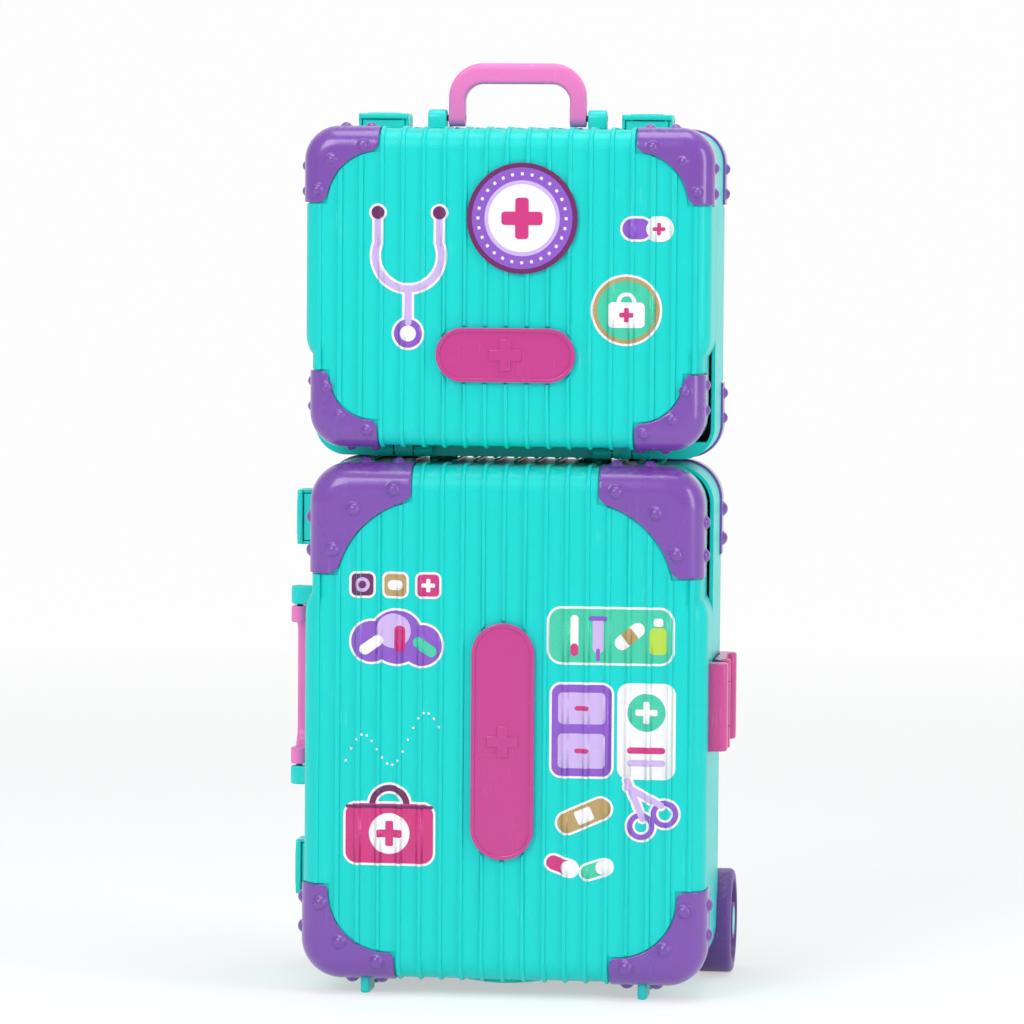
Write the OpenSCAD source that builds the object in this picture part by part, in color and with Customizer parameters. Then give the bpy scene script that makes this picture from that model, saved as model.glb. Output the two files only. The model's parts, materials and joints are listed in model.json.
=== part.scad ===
// Toy doctor case: an upper case stacked on a taller wheeled case.
// Millimetres. +X right, -Y front, +Z up. The floor is z = 0.

/* [Cases] */
// Width of both cases over their bare walls
case_w = 257; // [230:1:300]
// Height of the lower case
lower_h = 327; // [290:1:380]
// Height of the upper case's lid
upper_h = 200; // [185:1:260]
// Depth of the front halves, from the seam to the face
front_depth = 48.5; // [44:0.5:60]
// Depth of the rear halves, from the seam to the back
rear_depth = 78.5; // [74:0.5:100]
// Wall thickness of the moulded halves
wall = 2.5; // [2:0.1:3.5]
// Corner radius of the lower case, seen from the front
lower_corner_r = 24.5; // [20:0.5:30]
// Corner radius of the upper case, seen from the front
upper_corner_r = 20.5; // [16:0.5:26]
// Rounding between the lower case's faces and sides
lower_edge_r = 15; // [8:0.5:18]
// Rounding between the upper case's faces and sides
upper_edge_r = 12.5; // [6:0.5:15]
// How much each front half narrows at its end next to the other case
waist_inset = 4.2; // [2:0.1:6]
// Gap between the upper rear half and the lower case
stack_gap = 4; // [3:0.5:8]
// Gap between the two front halves
lid_gap = 12.5; // [11:0.5:20]

/* [Ribs] */
// Ribs on each side of the middle one
rib_side_count = 9; // [3:1:9]
// Distance of the outermost ribs from the case's sides
rib_in = 9.7; // [9:0.1:14]
// Width of a rib
rib_w = 3; // [2:0.1:5]
// Height of a rib above the wall
rib_h = 1.5; // [0.8:0.1:2]
// Smooth band beside the seam
seam_band = 12; // [10:0.5:20]

/* [Corner guards] */
// How far a guard's face stands over the wall
guard_rise = 1.5; // [1:0.1:2]
// Depth of the pocket that a guard sits in
guard_sink = 1; // [0.5:0.1:1.2]
// Open line around a guard
guard_line = 0.8; // [0.4:0.1:1.2]
// How far a guard reaches round the side
guard_wrap = 27; // [22:0.5:32]
// Leg of the guards at the lower case's foot
lower_outer_leg = 60; // [50:1:66]
// Leg of the guards at the lower case's top
lower_inner_leg = 69; // [58:1:76]
// Leg of the upper case's guards
upper_leg = 47; // [40:1:52]
// Diameter of the lower case's rivet heads
lower_rivet_d = 9; // [6:0.5:10]
// Height of the lower case's rivet heads
lower_rivet_h = 3; // [1.5:0.1:3.2]
// Diameter of the upper case's rivet heads
upper_rivet_d = 7; // [4:0.5:8]
// Height of the upper case's rivet heads
upper_rivet_h = 2.4; // [1:0.1:2.6]

/* [Name plates] */
// Length of the upper plate
upper_plate_l = 88; // [60:1:120]
// Width of the upper plate
upper_plate_w = 34; // [24:1:44]
// Length of the lower plate
lower_plate_l = 150; // [90:1:180]
// Width of the lower plate
lower_plate_w = 40; // [28:1:50]
// Height of the upper plate's middle over the lid's middle
upper_plate_up = -42; // [-60:1:30]
// Height of the lower plate's middle over the lower case's middle
lower_plate_up = -10; // [-40:1:20]
// Thickness of the plates
plate_t = 2.6; // [2:0.1:4]
// Arm length of the plain cross on a plate
cross_l = 20; // [12:1:22]
// Arm width of the plain cross on a plate
cross_w = 7; // [4:0.5:8]

/* [Trays] */
// Wall of the moulded trays
tray_wall = 1.8; // [1.4:0.1:2.5]
// How far a tray's rim stands past the seam
tray_proud = 25; // [10:1:30]
// Space between a tray and the case around it
tray_side_gap = 8; // [7:0.5:12]
// Depth of the lower tray behind the seam
lower_tray_depth = 47; // [30:1:52]
// Depth of the upper tray behind the seam
upper_tray_depth = 72; // [40:1:74]

/* [Wheels and feet] */
// Wheel radius
wheel_r = 34; // [28:0.5:38]
// Thickness of the wheel's outer ring
tyre_t = 7; // [4:0.5:9]
// Radius of the wheel's hub
hub_r = 12; // [10.5:0.5:14]
// Wheel width
wheel_w = 24; // [18:0.5:28]
// How far a wheel's outer face stands past the case's side
wheel_proud = 9; // [6:0.5:14]
// Distance of the axle behind the back wall
axle_back = 11.5; // [8:0.5:20]
// Axle radius
axle_r = 3; // [2:0.1:4]
// Height of the feet
foot_h = 10.5; // [8:0.5:16]
// Width of a foot
foot_w = 6; // [5:0.5:10]
// Length of a foot, front to back
foot_l = 26; // [14:1:30]
// Distance of the feet from the middle, as a part of half the case's width
foot_share = 0.69; // [0.6:0.01:0.72]
// Distance of the stacking pegs from the middle, as a part of half the case's width
peg_share = 0.39; // [0.25:0.01:0.5]
// Radius of a stacking peg
peg_r = 6; // [4:0.5:9]

/* [Handles] */
// Width of the top handle
top_handle_w = 88; // [76:1:100]
// Reach of the top handle, from its pivot to its outer edge
top_handle_reach = 35; // [32:1:50]
// Length of the side handle
side_handle_w = 102; // [86:1:120]
// Reach of the side handle
side_handle_reach = 38; // [34:1:50]
// Width of a handle's leg
leg_w = 10.4; // [9:0.1:14]
// Thickness of a handle
handle_t = 11; // [9:0.5:11.5]
// Height of a handle's grip
grip_h = 13.3; // [11:0.1:15]
// Width of a handle's ear
ear_w = 12; // [9:0.5:14]
// Outer corner radius of a handle
handle_corner_r = 22; // [14:0.5:24]
// Rounding along a handle's grip
handle_round_r = 4; // [2:0.1:4.4]
// Distance of a handle's pivot behind the seam
pivot_back = 9; // [7:0.5:12]
// How far the side handle's pivot stands over the side
side_pivot_rise = 10.5; // [7:0.1:11]
// Height of the side handle's middle over the lower case's middle
side_handle_up = 18; // [0:1:24]
// Radius of the handle pins
handle_pin_r = 2; // [1.5:0.1:2.5]

/* [Hinges and latches] */
// Height of the side hinge's bars
hinge_h = 56; // [46:1:70]
// Height of the side hinge's middle knuckle
hinge_web_h = 28; // [20:1:32]
// How far the hinge bars stand over the side
hinge_proud = 11.7; // [10:0.1:14]
// Distance of each hinge bar's middle from the front of the case and from its back
hinge_bar_in = 27; // [18:0.5:28]
// Width of a hinge bar, front to back
hinge_bar_w = 12; // [8:0.5:14]
// Distance of the side hinge's axis from the side
hinge_axis_out = 7.3; // [6:0.1:7.6]
// Height of the side hinge's middle over the lower case's middle
hinge_up = 12; // [-30:1:30]
// Radius of the side hinge's pin
hinge_pin_r = 2; // [1.5:0.1:2.5]
// Radius of the lid's knuckles
lid_knuckle_r = 3.7; // [3:0.1:4]
// Radius of the lid's hinge pins
lid_pin_r = 1.5; // [1:0.1:1.8]
// Distance of the lid's hinges from the middle, as a part of half the case's width
lid_hinge_share = 0.545; // [0.4:0.005:0.65]
// Width of each of the three knuckles of a lid hinge
lid_knuckle_w = 12; // [8:0.5:16]
// Width of a side latch
side_latch_w = 35; // [28:1:38]
// Width of a top latch
top_latch_w = 32; // [24:1:36]
// Distance of the upper side latch under the lower case's top
side_latch_down = 36; // [30:1:44]
// Distance of the lower side latch over the lower case's bottom
side_latch_above = 65.5; // [40:0.5:72]
// How far a closed latch stands over the wall
latch_rise = 9.8; // [8.6:0.1:12]
// Thickness of a latch's cap
latch_t = 3.4; // [2:0.1:3.6]
// Distance of the top latches from the middle, as a part of half the case's width
top_latch_share = 0.655; // [0.64:0.005:0.68]
// Radius of the latch pins
latch_pin_r = 1.5; // [1:0.1:1.8]

/* [Hidden] */
$fn = 48;

shell_colour = "#12CFCB";
trim_colour = "#1FD6CF";
guard_colour = "#7B4CB0";
wheel_colour = "#6B4A8C";
pink_colour = "#F07CC0";
hinge_colour = "#D0508F";
tray_colour = "#F3EEDF";
navy_colour = "#1E2A5A";
steel_colour = "#B8BCC2";
plate_colour = "#C42A86";

eps = 0.01;
// Space between fixed pieces that only touch
fit = 0.1;
// Radial clearance of a turning pin
run_fit = 0.05;
// Space between pieces that move past each other
play = 0.6;

// The seam's place puts the whole object's box in the middle of the frame
seam_y = -35;
face_y = seam_y - front_depth;
back_y = seam_y + rear_depth;
side_x = case_w / 2;
lower_z0 = foot_h;
lower_z1 = lower_z0 + lower_h;
base_z0 = lower_z1 + stack_gap;
lid_z0 = lower_z1 + lid_gap;
upper_z1 = lid_z0 + upper_h;
base_h = upper_z1 - base_z0;

// Places along the case's width
rib_pitch = (side_x - rib_in) / rib_side_count;
foot_x = foot_share * side_x;
peg_x = peg_share * side_x;
lid_hinge_x = lid_hinge_share * side_x;
top_latch_x = top_latch_share * side_x;

// Guards: [leg, width of a leg's end, depth along the diagonal]
lower_outer = [lower_outer_leg, 17.5, 28.5];
lower_inner = [lower_inner_leg, 22, 38.5];
upper_outer = [upper_leg, 14, 24];
upper_inner = [upper_leg, 16, 24.5];
// Rivets on a guard's face, from the case's side and end
lower_outer_rivets = [[49, 11.5], [25, 23.5], [12.5, 48]];
lower_inner_rivets = [[58, 15], [32.5, 28], [19.5, 54]];
upper_outer_rivets = [[37, 11], [17.5, 20], [8.6, 39]];
upper_inner_rivets = [[41, 9.5], [23.5, 18.5], [15, 36.5]];
// Rivets on a guard's flanks, as distances from the corner
lower_flank = [31, 50];
lower_inner_flank = [34, 55];
upper_flank = [24, 40];
flank_rivet_in = 17;
// Rivet heads: [diameter, height], and their root in the guard
lower_rivet = [lower_rivet_d, lower_rivet_h];
upper_rivet = [upper_rivet_d, upper_rivet_h];
rivet_root = 1.2;

lower_mid = (lower_z0 + lower_z1) / 2;
lid_mid = (lid_z0 + upper_z1) / 2;
base_mid = (base_z0 + upper_z1) / 2;
// Gap between a front half's rim and its rear half's
seam_gap = 0.4;

// Finger lip under the door: width, height, thickness, distance from the face, arc
lip_w = 53;
lip_h = 3;
lip_t = 8;
lip_in = 16;
lip_r = (lip_w * lip_w / 4 + lip_h * lip_h) / (2 * lip_h);

// Wheels, axle and brackets
axle_y = back_y + axle_back;
wheel_x = side_x + wheel_proud - wheel_w / 2;
well_gap = 2.5;
wheel_web_t = 6;
hub_cap_r = hub_r - 2;
hub_cap_t = 3;
bracket_w = 20;
bracket_r = 7;
bracket_plate_t = 3;
bracket_x = wheel_x - wheel_w / 2 - well_gap - wall - 2 - bracket_w / 2;
bracket_z0 = wheel_r - bracket_r;
bracket_h = 36;
screw_r = 1.5;
screw_head_h = 2;

// Feet
front_foot_y = face_y + 10.5 + foot_l / 2;
rear_foot_y = seam_y + 4 + foot_l / 2;

// Stacking pegs and their sockets
peg_y = seam_y + rear_depth / 2;
peg_pad_r = peg_r + 3;
peg_h = 3.5;
socket_r = peg_r + play;
socket_h = peg_h + play;

// Lid hinges
lid_axis_y = seam_y - lid_knuckle_r - play;
lid_axis_z = lid_z0 - lid_knuckle_r - 1.3;

// Latches: the pins' place, the cap's reach over the front half, lugs and cheeks
latch_axis_back = 9;
latch_front = 9;
latch_r = 4.4;
latch_axis_up = latch_rise - latch_r;
latch_lug_w = 5;
latch_cheek_t = 2;
latch_cheek_h = latch_rise - latch_t - 1;
latch_catch_l = 4;
side_latch_z = [lower_z0 + side_latch_above, lower_z1 - side_latch_down];

// Handles
ear_gap = 1.3;
handle_clear = 0.3;
top_pivot_rise = handle_t / 2 + rib_h + handle_clear;
side_handle_z = lower_mid + side_handle_up;

// Side hinge
hinge_x = side_x + hinge_axis_out;
hinge_z = lower_mid + hinge_up;
hinge_front_y = face_y - guard_rise + hinge_bar_in;
hinge_rear_y = back_y + guard_rise - hinge_bar_in;
hinge_round_r = 4;
hinge_arm_gap = 1.5;
hinge_screw_z = hinge_h / 2 - 8;
hinge_screw_grip = wall + 7;

// Plates' raised rim and cross, and the trays' inner rounding
plate_rim_w = 2.5;
plate_rim_h = 1;
tray_edge_r = 9;

// ---------- Outlines and frames ----------

// Stands a flat-lying piece up so that its outward side is the front
module at_front(z) { translate([0, seam_y, z]) rotate([90, 0, 0]) children(); }

// The same for the back
module at_back(z) { translate([0, seam_y, z]) mirror([0, 1, 0]) rotate([90, 0, 0]) children(); }

module rounded_rect(w, h, r) {
    square([w - 2 * r, h], center = true);
    square([w, h - 2 * r], center = true);
    for (x = [-1, 1], y = [-1, 1]) translate([x * (w / 2 - r), y * (h / 2 - r)]) circle(r);
}

// Half of a pan's section: r wide and d high, with its outer upper corner rounded by e
module rim_section(r, d, e) {
    square([r, d - e]);
    translate([0, d - e]) square([r - e, e]);
    translate([r - e, d - e]) intersection() {
        circle(e);
        square(e);
    }
}

// Solid pan: rounded corners of radius r, outer face at height d with edges of radius e
module pan(w, h, d, r, e) {
    x = w / 2 - r;
    y = h / 2 - r;
    translate([-x, -y, 0]) cube([2 * x, 2 * y, d]);
    for (a = [0, 180]) rotate([0, 0, a]) {
        translate([x, y, 0]) rotate([90, 0, 0]) linear_extrude(2 * y) rim_section(r, d, e);
        translate([-x, y, 0]) rotate([90, 0, 90]) linear_extrude(2 * x) rim_section(r, d, e);
        translate([x, y, 0]) rotate_extrude(angle = 90) rim_section(r, d, e);
        translate([-x, y, 0]) rotate([0, 0, 90]) rotate_extrude(angle = 90) rim_section(r, d, e);
    }
}

// Pan grown outwards by g on every side but the seam's
module grown_pan(w, h, d, r, e, g) { pan(w + 2 * g, h + 2 * g, d + g, r + g, e + g); }

// Front pan with one end narrowed; waist is the narrow end's length, end is 1 for the top
module waisted_pan(h, r, e, waist, end, g) {
    narrow_h = waist + 2 * r;
    translate([0, -end * waist / 2, 0]) grown_pan(case_w, h - waist, front_depth, r, e, g);
    translate([0, end * (h - narrow_h) / 2, 0])
        grown_pan(case_w - 2 * waist_inset, narrow_h, front_depth, r, e, g);
}

module lower_front_pan(g = 0) {
    waisted_pan(lower_h, lower_corner_r, lower_edge_r, lower_inner_leg + 2, 1, g);
}
module upper_front_pan(g = 0) {
    waisted_pan(upper_h, upper_corner_r, upper_edge_r, upper_leg + 2, -1, g);
}
module lower_rear_pan(g = 0) {
    grown_pan(case_w, lower_h, rear_depth, lower_corner_r, lower_edge_r, g);
}
module upper_rear_pan(g = 0) {
    grown_pan(case_w, base_h, rear_depth, upper_corner_r, upper_edge_r, g);
}

// How far a pan's face with edges of radius e has fallen at x
function face_fall(x, e) = let (over = abs(x) - case_w / 2 + e)
    over > 0 ? e - sqrt(e * e - over * over) : 0;

// Outline over a pan's middle, from its seam, with rounded corners of radius e
module band_outline(h, d, e) {
    for (m = [0, 1]) mirror([m, 0]) rim_section(h / 2, d, e);
}

// Ribs from end to end between the corners, and over the face alone beside them
module ribs(h, depth, r, e) {
    for (i = [-rib_side_count:rib_side_count]) {
        x = i * rib_pitch;
        if (abs(x) + rib_w < case_w / 2 - r)
            translate([x - rib_w / 2, 0, 0]) rotate([90, 0, 90]) linear_extrude(rib_w) difference() {
                band_outline(h + 2 * rib_h, depth + rib_h, e + rib_h);
                band_outline(h - wall, depth - wall / 2, e - wall / 2);
                translate([-h, -1]) square([2 * h, seam_band + 1]);
            }
        else
            translate([x - rib_w / 2, -h / 2 + r, depth - wall / 2 - face_fall(x, e)])
                cube([rib_w, h - 2 * r, wall / 2 + rib_h]);
    }
}

// ---------- Corner guards ----------

// Boomerang outline in the corner x <= 0, y <= 0 of the case's outline; g grows it
module guard_outline(size, g = 0) {
    leg = size[0];
    tip = size[1];
    deep = size[2];
    c = (leg * leg + tip * tip - 2 * deep * deep) / (2 * (leg + tip) - 4 * deep);
    arc_r = sqrt(2) * (c - deep);
    difference() {
        translate([-leg - g, -leg - g]) square(leg + g + 10);
        translate([-c, -c]) circle(arc_r - g, $fn = 96);
    }
}

module at_corner(sx, sy) {
    mirror([sx < 0 ? 1 : 0, 0, 0]) mirror([0, sy < 0 ? 1 : 0, 0]) children();
}

// Region of the guard at a half's corner [case_w / 2, h / 2]
module guard_zone(h, depth, size, g = 0) {
    translate([case_w / 2, h / 2, depth - guard_wrap - g])
        linear_extrude(guard_wrap + g + 10) guard_outline(size, g);
}

// The part of a pan that a guard can reach, grown by g
module pan_corner(w, h, d, r, e, reach, g) {
    translate([w / 2 - r, h / 2 - r, 0]) {
        translate([-reach, -reach, 0]) cube([reach, reach, d + g]);
        rotate([90, 0, 0]) linear_extrude(reach) rim_section(r + g, d + g, e + g);
        translate([-reach, 0, 0]) rotate([90, 0, 90]) linear_extrude(reach)
            rim_section(r + g, d + g, e + g);
        rotate_extrude(angle = 90) rim_section(r + g, d + g, e + g);
    }
}

// Domed rivet head on the plane z = 0
module rivet(d, h) {
    ball_r = (d * d / 4 + h * h) / (2 * h);
    rotate_extrude() intersection() {
        translate([0, h - ball_r]) circle(ball_r);
        translate([0, -rivet_root]) square([d / 2, h + rivet_root]);
    }
}

// Guard of the corner x > 0, y > 0 with its rivets: spots on the face, and distances along
// the side and the end; inset is how far the case's side lies inside its nominal side
module guard(h, depth, r, e, inset, size, spots, side_flank, end_flank, rivet_size) {
    w = case_w - 2 * inset;
    color(guard_colour) {
        intersection() {
            difference() {
                pan_corner(w, h, depth, r, e, size[0], guard_rise);
                pan_corner(w, h, depth, r, e, size[0], fit - guard_sink);
            }
            guard_zone(h, depth, size);
        }
        for (p = spots) translate([case_w / 2 - p[0], h / 2 - p[1], depth + guard_rise])
            rivet(rivet_size[0], rivet_size[1]);
        for (f = side_flank)
            translate([w / 2 + guard_rise, h / 2 - f, depth - flank_rivet_in])
                rotate([0, 90, 0]) rivet(rivet_size[0], rivet_size[1]);
        for (f = end_flank)
            translate([w / 2 - f, h / 2 + guard_rise, depth - flank_rivet_in])
                rotate([-90, 0, 0]) rivet(rivet_size[0], rivet_size[1]);
    }
}

// Guards' list for a half: [sx, sy, size] for each corner
lower_front_corners = [[-1, 1, lower_inner], [1, 1, lower_inner],
                       [-1, -1, lower_outer], [1, -1, lower_outer]];
upper_front_corners = [[-1, 1, upper_outer], [1, 1, upper_outer],
                       [-1, -1, upper_inner], [1, -1, upper_inner]];
lower_rear_corners = [[-1, 1, lower_outer], [1, 1, lower_outer]];
upper_rear_corners = [[-1, 1, upper_outer], [1, 1, upper_outer],
                      [-1, -1, upper_outer], [1, -1, upper_outer]];

module zones(corners, h, depth, g) {
    for (c = corners) at_corner(c[0], c[1]) guard_zone(h, depth, c[2], g);
}

module lower_front_guard(sx, sy) {
    at_front(lower_mid) at_corner(sx, sy) if (sy > 0)
        guard(lower_h, front_depth, lower_corner_r, lower_edge_r, waist_inset, lower_inner,
              lower_inner_rivets, lower_inner_flank, lower_inner_flank, lower_rivet);
    else
        guard(lower_h, front_depth, lower_corner_r, lower_edge_r, 0, lower_outer,
              lower_outer_rivets, lower_flank, lower_flank, lower_rivet);
}

module upper_front_guard(sx, sy) {
    at_front(lid_mid) at_corner(sx, sy) if (sy < 0)
        guard(upper_h, front_depth, upper_corner_r, upper_edge_r, waist_inset, upper_inner,
              upper_inner_rivets, upper_flank, upper_flank, upper_rivet);
    else
        guard(upper_h, front_depth, upper_corner_r, upper_edge_r, 0, upper_outer,
              upper_outer_rivets, upper_flank, upper_flank, upper_rivet);
}

module lower_rear_guard(sx) {
    at_back(lower_mid) at_corner(sx, 1)
        guard(lower_h, rear_depth, lower_corner_r, lower_edge_r, 0, lower_outer,
              lower_outer_rivets, lower_flank, [], lower_rivet);
}

module upper_rear_guard(sx, sy) {
    at_back(base_mid) at_corner(sx, sy)
        guard(base_h, rear_depth, upper_corner_r, upper_edge_r, 0, upper_outer,
              upper_outer_rivets, upper_flank, [], upper_rivet);
}

// ---------- Half shells ----------

// Hollow half with ribs and guard pockets. Children: the outer pan, the pan of the pockets'
// floor and the pan of the hollow.
module half_shell(h, depth, r, e, corners) {
    difference() {
        union() {
            children(0);
            difference() {
                ribs(h, depth, r, e);
                zones(corners, h, depth, guard_line);
            }
        }
        difference() {
            zones(corners, h, depth, guard_line);
            children(1);
        }
        children(2);
        translate([-case_w, -h, -depth]) cube([2 * case_w, 2 * h, depth + seam_gap / 2]);
    }
}

module lower_rear_shell() {
    color(shell_colour) difference() {
        union() {
            at_back(lower_mid) half_shell(lower_h, rear_depth, lower_corner_r, lower_edge_r,
                                   lower_rear_corners) {
                lower_rear_pan();
                lower_rear_pan(-guard_sink);
                lower_rear_pan(-wall);
            }
            intersection() {
                at_back(lower_mid) lower_rear_pan();
                wheel_wells(wall);
            }
            for (x = [-1, 1]) translate([x * peg_x, peg_y, lower_z1 - wall]) {
                cylinder(r = peg_pad_r, h = wall + stack_gap - fit);
                cylinder(r = peg_r, h = wall + stack_gap + peg_h);
            }
        }
        wheel_wells(0);
        for (s = [-1, 1]) {
            translate([s * bracket_x - bracket_w / 2 - guard_line, back_y, bracket_z0 - guard_line])
                cube([bracket_w + 2 * guard_line, 2 * rib_h, bracket_h + 2 * guard_line]);
            translate([s * foot_x - foot_w / 2 - guard_line, rear_foot_y - foot_l / 2 - guard_line,
                       lower_z0 - 2 * rib_h])
                cube([foot_w + 2 * guard_line, foot_l + 2 * guard_line, 2 * rib_h]);
        }
        at_bracket_screws() screw_hole(2 * wall + bracket_plate_t);
        at_hinge_screws(hinge_rear_y) screw_hole(2 * wall);
    }
}

module lower_front_shell() {
    color(shell_colour) difference() {
        union() {
            at_front(lower_mid) half_shell(lower_h, front_depth, lower_corner_r, lower_edge_r,
                                   lower_front_corners) {
                lower_front_pan();
                lower_front_pan(-guard_sink);
                lower_front_pan(-wall);
            }
            // Finger lip under the middle of the bottom edge
            translate([0, face_y + lip_in, lower_z0 - lip_h]) rotate([-90, 0, 0]) intersection() {
                translate([0, -lip_r, 0]) cylinder(r = lip_r, h = lip_t, $fn = 96);
                translate([-lip_w / 2, -lip_h - wall / 2, 0]) cube([lip_w, lip_h + wall / 2, lip_t]);
            }
        }
        at_front(lower_mid) translate([0, lower_plate_up, front_depth])
            linear_extrude(2 * rib_h) capsule(lower_plate_w, lower_plate_l, guard_line);
        for (s = [-1, 1])
            translate([s * foot_x - foot_w / 2 - guard_line, front_foot_y - foot_l / 2 - guard_line,
                       lower_z0 - 2 * rib_h])
                cube([foot_w + 2 * guard_line, foot_l + 2 * guard_line, 2 * rib_h]);
        at_hinge_screws(hinge_front_y) screw_hole(2 * wall);
    }
}

module upper_rear_shell() {
    color(shell_colour) difference() {
        union() {
            at_back(base_mid) half_shell(base_h, rear_depth, upper_corner_r, upper_edge_r,
                                   upper_rear_corners) {
                upper_rear_pan();
                upper_rear_pan(-guard_sink);
                upper_rear_pan(-wall);
            }
            // Sill between the case's bottom and the lid's rim
            intersection() {
                at_back(base_mid) upper_rear_pan(-wall / 2);
                translate([-side_x, seam_y + seam_gap / 2, base_z0])
                    cube([case_w, wall, lid_z0 + wall - base_z0]);
            }
            for (x = [-1, 1]) translate([x * peg_x, peg_y, base_z0])
                cylinder(r = socket_r + wall / 2, h = socket_h + wall / 2);
            for (x = [-1, 1], s = [-1, 1])
                translate([x * lid_hinge_x + s * (lid_knuckle_w + play), 0, 0]) {
                    lid_knuckle(lid_knuckle_w - play);
                    translate([-(lid_knuckle_w - play) / 2, lid_axis_y, base_z0])
                        cube([lid_knuckle_w - play, seam_y + wall - lid_axis_y, wall]);
                }
        }
        for (x = [-1, 1]) {
            translate([x * peg_x, peg_y, base_z0 - 2 * rib_h]) {
                cylinder(r = socket_r, h = socket_h + 2 * rib_h);
                cylinder(r = peg_pad_r + play, h = 2 * rib_h);
            }
            on_top(x * (top_handle_w / 2 + ear_gap + ear_w / 2)) ear_clearing();
            translate([x * lid_hinge_x, 0, 0]) lid_hinge_bore();
        }
    }
}

module upper_front_shell() {
    color(shell_colour) difference() {
        union() {
            at_front(lid_mid) half_shell(upper_h, front_depth, upper_corner_r, upper_edge_r,
                                   upper_front_corners) {
                upper_front_pan();
                upper_front_pan(-guard_sink);
                upper_front_pan(-wall);
            }
            for (x = [-1, 1]) translate([x * lid_hinge_x, 0, 0]) {
                lid_knuckle(lid_knuckle_w);
                translate([-lid_knuckle_w / 2, lid_axis_y - lid_knuckle_r, lid_axis_z])
                    cube([lid_knuckle_w, lid_knuckle_r + 1, lid_z0 + wall - lid_axis_z]);
            }
        }
        at_front(lid_mid) translate([0, upper_plate_up, front_depth])
            linear_extrude(2 * rib_h) capsule(upper_plate_l, upper_plate_w, guard_line);
        for (x = [-1, 1]) translate([x * lid_hinge_x, 0, 0]) lid_hinge_bore();
    }
}

// ---------- Lid hinges ----------

module lid_knuckle(w) {
    translate([0, lid_axis_y, lid_axis_z]) rotate([0, 90, 0])
        cylinder(r = lid_knuckle_r, h = w, center = true);
}

module lid_hinge_bore() {
    translate([0, lid_axis_y, lid_axis_z]) rotate([0, 90, 0])
        cylinder(r = lid_pin_r + run_fit, h = 4 * lid_knuckle_w, center = true);
}

module lid_hinge_pins() {
    color(steel_colour) for (x = [-1, 1])
        translate([x * lid_hinge_x, lid_axis_y, lid_axis_z]) rotate([0, 90, 0])
            cylinder(r = lid_pin_r, h = 3 * lid_knuckle_w, center = true);
}

// ---------- Latches ----------

// Frames on the case: x along the seam, y to the back, z outwards, from the seam's line
module on_left(z) { translate([-side_x, seam_y, z]) rotate([0, -90, 0]) children(); }
module on_top(x) { translate([x, seam_y, upper_z1]) children(); }

// Two lugs that hold a latch's pin
module latch_lugs(w) {
    difference() {
        for (s = [-1, 1]) translate([s * (w - latch_lug_w) / 2, latch_axis_back, 0]) {
            translate([0, 0, latch_axis_up]) rotate([0, 90, 0])
                cylinder(r = latch_r, h = latch_lug_w, center = true);
            translate([-latch_lug_w / 2, -latch_r, fit])
                cube([latch_lug_w, 2 * latch_r, latch_axis_up - fit]);
        }
        latch_bore(w);
    }
}

module latch_bore(w) {
    translate([0, latch_axis_back, latch_axis_up]) rotate([0, 90, 0])
        cylinder(r = latch_pin_r + run_fit, h = w + 2, center = true);
}

// Ridge under a latch's cap; inset is how far its wall lies inside the case's nominal side
module latch_catch(w, inset) {
    catch_w = w - 2 * (latch_cheek_t + play);
    translate([-catch_w / 2, -latch_front + latch_cheek_t, fit - inset])
        cube([catch_w, latch_catch_l, inset - fit + latch_rise - latch_t - play]);
}

module latch(w) {
    cap_l = latch_front + latch_axis_back - latch_r - play;
    barrel_w = w - 2 * (latch_lug_w + play);
    difference() {
        union() {
            translate([0, latch_axis_back, latch_axis_up]) rotate([0, 90, 0])
                cylinder(r = latch_r, h = barrel_w, center = true);
            translate([-barrel_w / 2, cap_l - latch_front - 1, latch_rise - latch_t])
                cube([barrel_w, latch_r + play + 1, latch_t]);
            translate([0, cap_l / 2 - latch_front, latch_rise - latch_t])
                linear_extrude(latch_t) rounded_rect(w, cap_l, latch_cheek_t);
            for (s = [-1, 1])
                translate([s * (w - latch_cheek_t) / 2 - latch_cheek_t / 2,
                           latch_cheek_t - latch_front, latch_rise - latch_t - latch_cheek_h])
                    cube([latch_cheek_t, cap_l - 2 * latch_cheek_t, latch_cheek_h + 1]);
        }
        latch_bore(w);
    }
}

module latch_pin(w) {
    translate([0, latch_axis_back, latch_axis_up]) rotate([0, 90, 0])
        cylinder(r = latch_pin_r, h = w - 1, center = true);
}

module side_latch_bottom() { color(trim_colour) on_left(side_latch_z[0]) latch(side_latch_w); }
module side_latch_top() { color(trim_colour) on_left(side_latch_z[1]) latch(side_latch_w); }
module side_latch_pins() {
    color(steel_colour) for (z = side_latch_z) on_left(z) latch_pin(side_latch_w);
}
module side_latch_lugs() {
    color(trim_colour) for (z = side_latch_z) on_left(z) latch_lugs(side_latch_w);
}
module side_latch_catches() {
    color(trim_colour) {
        on_left(side_latch_z[0]) latch_catch(side_latch_w, 0);
        on_left(side_latch_z[1]) latch_catch(side_latch_w, waist_inset);
    }
}
module top_latch_left() { color(trim_colour) on_top(-top_latch_x) latch(top_latch_w); }
module top_latch_right() { color(trim_colour) on_top(top_latch_x) latch(top_latch_w); }
module top_latch_pins() {
    color(steel_colour) for (x = [-1, 1]) on_top(x * top_latch_x) latch_pin(top_latch_w);
}

module top_latch_lugs() {
    color(trim_colour) for (x = [-1, 1]) on_top(x * top_latch_x) latch_lugs(top_latch_w);
}
module top_latch_catches() {
    color(trim_colour) for (x = [-1, 1]) on_top(x * top_latch_x) latch_catch(top_latch_w, 0);
}

// ---------- Handles ----------

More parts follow.
